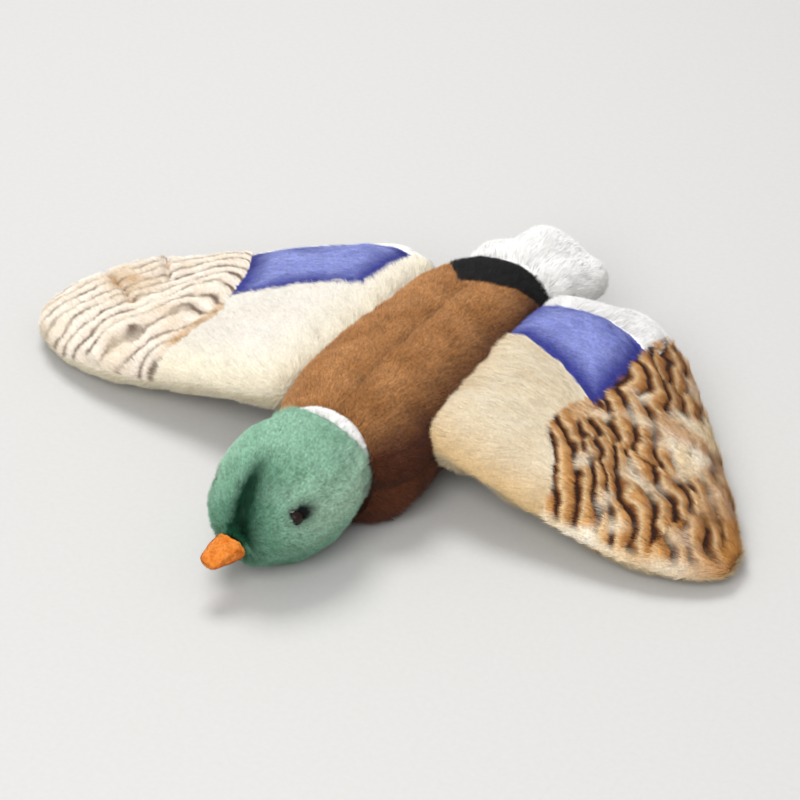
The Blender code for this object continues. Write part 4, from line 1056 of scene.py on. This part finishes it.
def striped(stops, gold):
    """Pattern that lays gold over the tips, and then colours each stripe by the stops of a ramp. On the right tip the
    gold along the folds is painted shade, and on the left tip the stops also paint the ridges' shade and highlight.
    """

    def pattern(tree, tips):
        mark = add_node(tree, "ShaderNodeAttribute", [("attribute_name", "mark")]).outputs["Vector"]
        phase, strength, gold_and_painted_shading = add_node(tree, "ShaderNodeSeparateXYZ", links=[("Vector", mark)]).outputs
        part = add_node(tree, "ShaderNodeMath", [("operation", "FRACT")], [(0, phase)]).outputs[0]
        ramp = add_node(tree, "ShaderNodeValToRGB", links=[("Fac", part)])
        for share, colour in stops[1:-1]:
            ramp.color_ramp.elements.new(share)
        for stop, (share, colour) in zip(ramp.color_ramp.elements, stops):
            stop.position = share
            stop.color = linear(colour)
        for share, colour in ((gold_and_painted_shading, linear(gold)), (strength, ramp.outputs[0])):
            tips = add_node(
                tree, "ShaderNodeMix", [("data_type", "RGBA")], [("Factor", share), ("A", tips), ("B", colour)]
            ).outputs[2]
        return tips

    return pattern


# Its tint is painted shade along the patch's seams.
blue_plush = plush_material(
    "polyester_pile_blue", "#3b41a4", "#b0baf2", "#9da7e6", 0.018, 0.4, pattern=tinted("#272c96"), grain=0.22,
    through=True,
)
wing_plushes = {
    "left": {
        "covert_panel": plush_material(
            "acrylic_pile_beige", "#cbb58c", "#f3ebd6", "#eaddc2", 0.026, pattern=tinted("#e2c38f")
        ),
        "blue_patch": blue_plush,
        "rear_edge_panel": white_plush,
        "tip_panel": plush_material(
            "acrylic_pile_tan_striped", "#7c4c24", "#fff6e2", "#f8e6c0", 0.020, 0.26,
            pattern=striped(
                # The stops are the print, and they also lay the darkest brown in each groove and the palest cream on
                # each crest, a painted shade and painted highlight of the ridges.
                [(0.0, "#26100c"), (0.09, "#371a10"), (0.18, "#9c622f"), (0.32, "#f4d9a8"), (0.52, "#dfab68"),
                 (0.80, "#ab6c30"), (0.91, "#4a2211"), (1.0, "#26100c")],
                "#d1964c",
            ),
            grain=0.20,
        ),
        "underside": plush_material("acrylic_pile_cream", "#c4ad82", "#e8d6b2", "#dfcba2", 0.030),
    },
    "right": {
        "covert_panel": plush_material(
            # Its tint is painted light: the pile grows lighter towards the wing's edge, on the slope that lies in
            # shade.
            "acrylic_pile_pale_cream", "#ddd4be", "#efebe3", "#ebe5da", 0.030, pattern=tinted("#faf2dc")
        ),
        "blue_patch": blue_plush,
        "rear_edge_panel": white_plush,
        "tip_panel": plush_material(
            "acrylic_pile_cream_striped", "#c2ad90", "#fbf3e4", "#f2e4cb", 0.030, 0.25,
            pattern=striped(
                [(0.0, "#54413a"), (0.07, "#75604f"), (0.19, "#eadccb"), (0.50, "#fff8ec"), (0.80, "#f4e8d6"),
                 (0.93, "#8e7866"), (1.0, "#54413a")],
                # Gold, which along the right tip's folds is painted shade.
                "#c99a58",
            ),
            grain=0.10,
        ),
        "underside": plush_material("acrylic_pile_cream_right", "#d6c9a6", "#f3ead4", "#ebe0c4", 0.030),
    },
}
for side, seed, tip_mark, height in (
    ("left", 5, left_tip_mark, LEFT_RIDGE_HEIGHT),
    ("right", 6, right_tip_mark, RIGHT_RIDGE_HEIGHT),
):
    prefix = side + "_wing_"
    names = [prefix + part for part in ("covert_panel", "blue_patch", "rear_edge_panel", "tip_panel", "underside")]
    hinge, out, rear = wing_axes(side)

    def ridged(points, near, height=height, tip_mark=tip_mark, side=side):
        """Ridges of the striped panel, which fade out at its seams, and its folds."""
        others = np.delete(near, 3, axis=1).min(axis=1)
        mark = tip_mark(points, near)
        rise = height * (ridge(mark[:, 0]) - 0.5) * np.clip(others / 0.012, 0, 1) * (0.35 + 0.65 * mark[:, 1])
        if side == "right":
            rise -= FOLD_DEPTH * right_folds(points)
        return np.where(near.argmin(axis=1) == 3, rise, 0)

    def wavy_seam(points, near, side=side):
        """The seam between the coverts and the striped panel runs in a wave."""
        along, across = np.transpose(TIP_SEAMS[side])
        past = (points[:, 0] - np.interp(points[:, 1], along, across)) * np.sign(across[0])
        on_top = np.isin(near.argmin(axis=1), (0, 3)) & (points[:, 1] < along[-1]) & (np.abs(past) < 0.030)
        near[on_top, 3] = np.maximum(-past, 0)[on_top]
        near[on_top, 0] = np.maximum(past, 0)[on_top]

    def over_the_seam(roots, near, length, way, hinge=hinge, out=out, side=side):
        """The pile at the left wing's root is long and lies over the seam, onto the body."""
        inward = np.clip(1 - (roots - hinge) @ out / ROOT_TUFT_WIDTH, 0, 1) * (side == "left")
        return length * (1 + 0.35 * inward), unit(way) - 1.5 * inward[:, None] * out

    wing_skin = bag_skin(
        names,
        [prefix + "filling"],
        ["left_back_panel", "right_back_panel", "belly_panel", "rump_patch"],
        lumps=0.0012,
        lump_size=0.034,
        seed=seed,
        relief=ridged,
        groove=0.0004,
        seams=wavy_seam,
    )
    lying_out = combed(out + 0.45 * rear)
    nap = combed(-0.85 * out - 0.25 * rear) if side == "left" else lying_out
    edge_nap = combed(rear + 0.5 * out)
    edge_pile = EDGE_PILE if side == "left" else EDGE_PILE / 2
    # Part, nap, pile, strands to a square millimetre, lift, mark, slot
    rows = (
        ("covert_panel", nap, WING_PILE, 4.6, 0.32, covert_mark, "cream_plush"),
        ("blue_patch", combed((-0.8, -0.6, 0.0)), BLUE_PILE, 6.0, 0.30, blue_mark, "blue_plush"),
        ("rear_edge_panel", edge_nap, edge_pile, 4.6, 0.34, None, "white_plush"),
        ("tip_panel", nap, TIP_PILE, 3.6, 0.33, tip_mark, "striped_plush"),
        ("underside", lying_out, UNDERSIDE_PILE, 2.2, 0.45, None, "cream_plush"),
    )
    for k, (part, comb, pile, per_mm2, lift, mark, slot) in enumerate(rows):
        node = prefix + part
        piece = plush_panel(
            node + "_plush", wing_skin, node, wing_plushes[side][part], comb, pile, per_mm2, lift, 10 * seed + k,
            mark=mark, shape=over_the_seam, bent=part == "tip_panel", unruly=UNRULY.get(part, 0.22),
        )
        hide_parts(node, *([prefix + "filling"] if part == "underside" else []))
        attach(piece, side + "_wing")


# The tail is a small bag of long white plush, one panel on top and one underneath. Its pile falls apart in locks.

TAIL_PILE = 0.0090
TAIL_MIDDLE_X = 0.009
TAIL_SPREAD = 9.0
TAIL_LOBES = 10
TAIL_LOBE_HEIGHT = 0.0034
TAIL_FAN_Y = 0.110
TAIL_LOBES_START = ((1, 0.140, 0.040),)


def spread_back(points):
    """Back and, from the middle, out to either side."""
    ways = np.zeros_like(points)
    ways[:, 1] = 1.0
    ways[:, 0] = (points[:, 0] - TAIL_MIDDLE_X) * TAIL_SPREAD
    return ways


def lobed(points, near):
    """Soft lobes round the tail's edge, spread like a fan."""
    turn = np.arctan2(points[:, 0] - TAIL_MIDDLE_X, points[:, 1] - TAIL_FAN_Y)
    return TAIL_LOBE_HEIGHT * np.cos(TAIL_LOBES * turn) * ramped(points, TAIL_LOBES_START)


tail_skin = bag_skin(
    ["tail_top_panel", "tail_underside"],
    ["tail_filling"],
    ["left_back_panel", "right_back_panel", "belly_panel", "rump_patch"],
    lumps=0.0040,
    lump_size=0.020,
    seed=7,
    relief=lobed,
)
for node, density in (("tail_top_panel", 4.2), ("tail_underside", 2.6)):
    piece = plush_panel(
        node + "_plush", tail_skin, node, white_plush, spread_back, TAIL_PILE,
        per_mm2=density, lift=0.50, seed=71, unruly=0.2, bent=True,
    )
    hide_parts(node, *(["tail_filling"] if node == "tail_underside" else []))
    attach(piece, "tail")
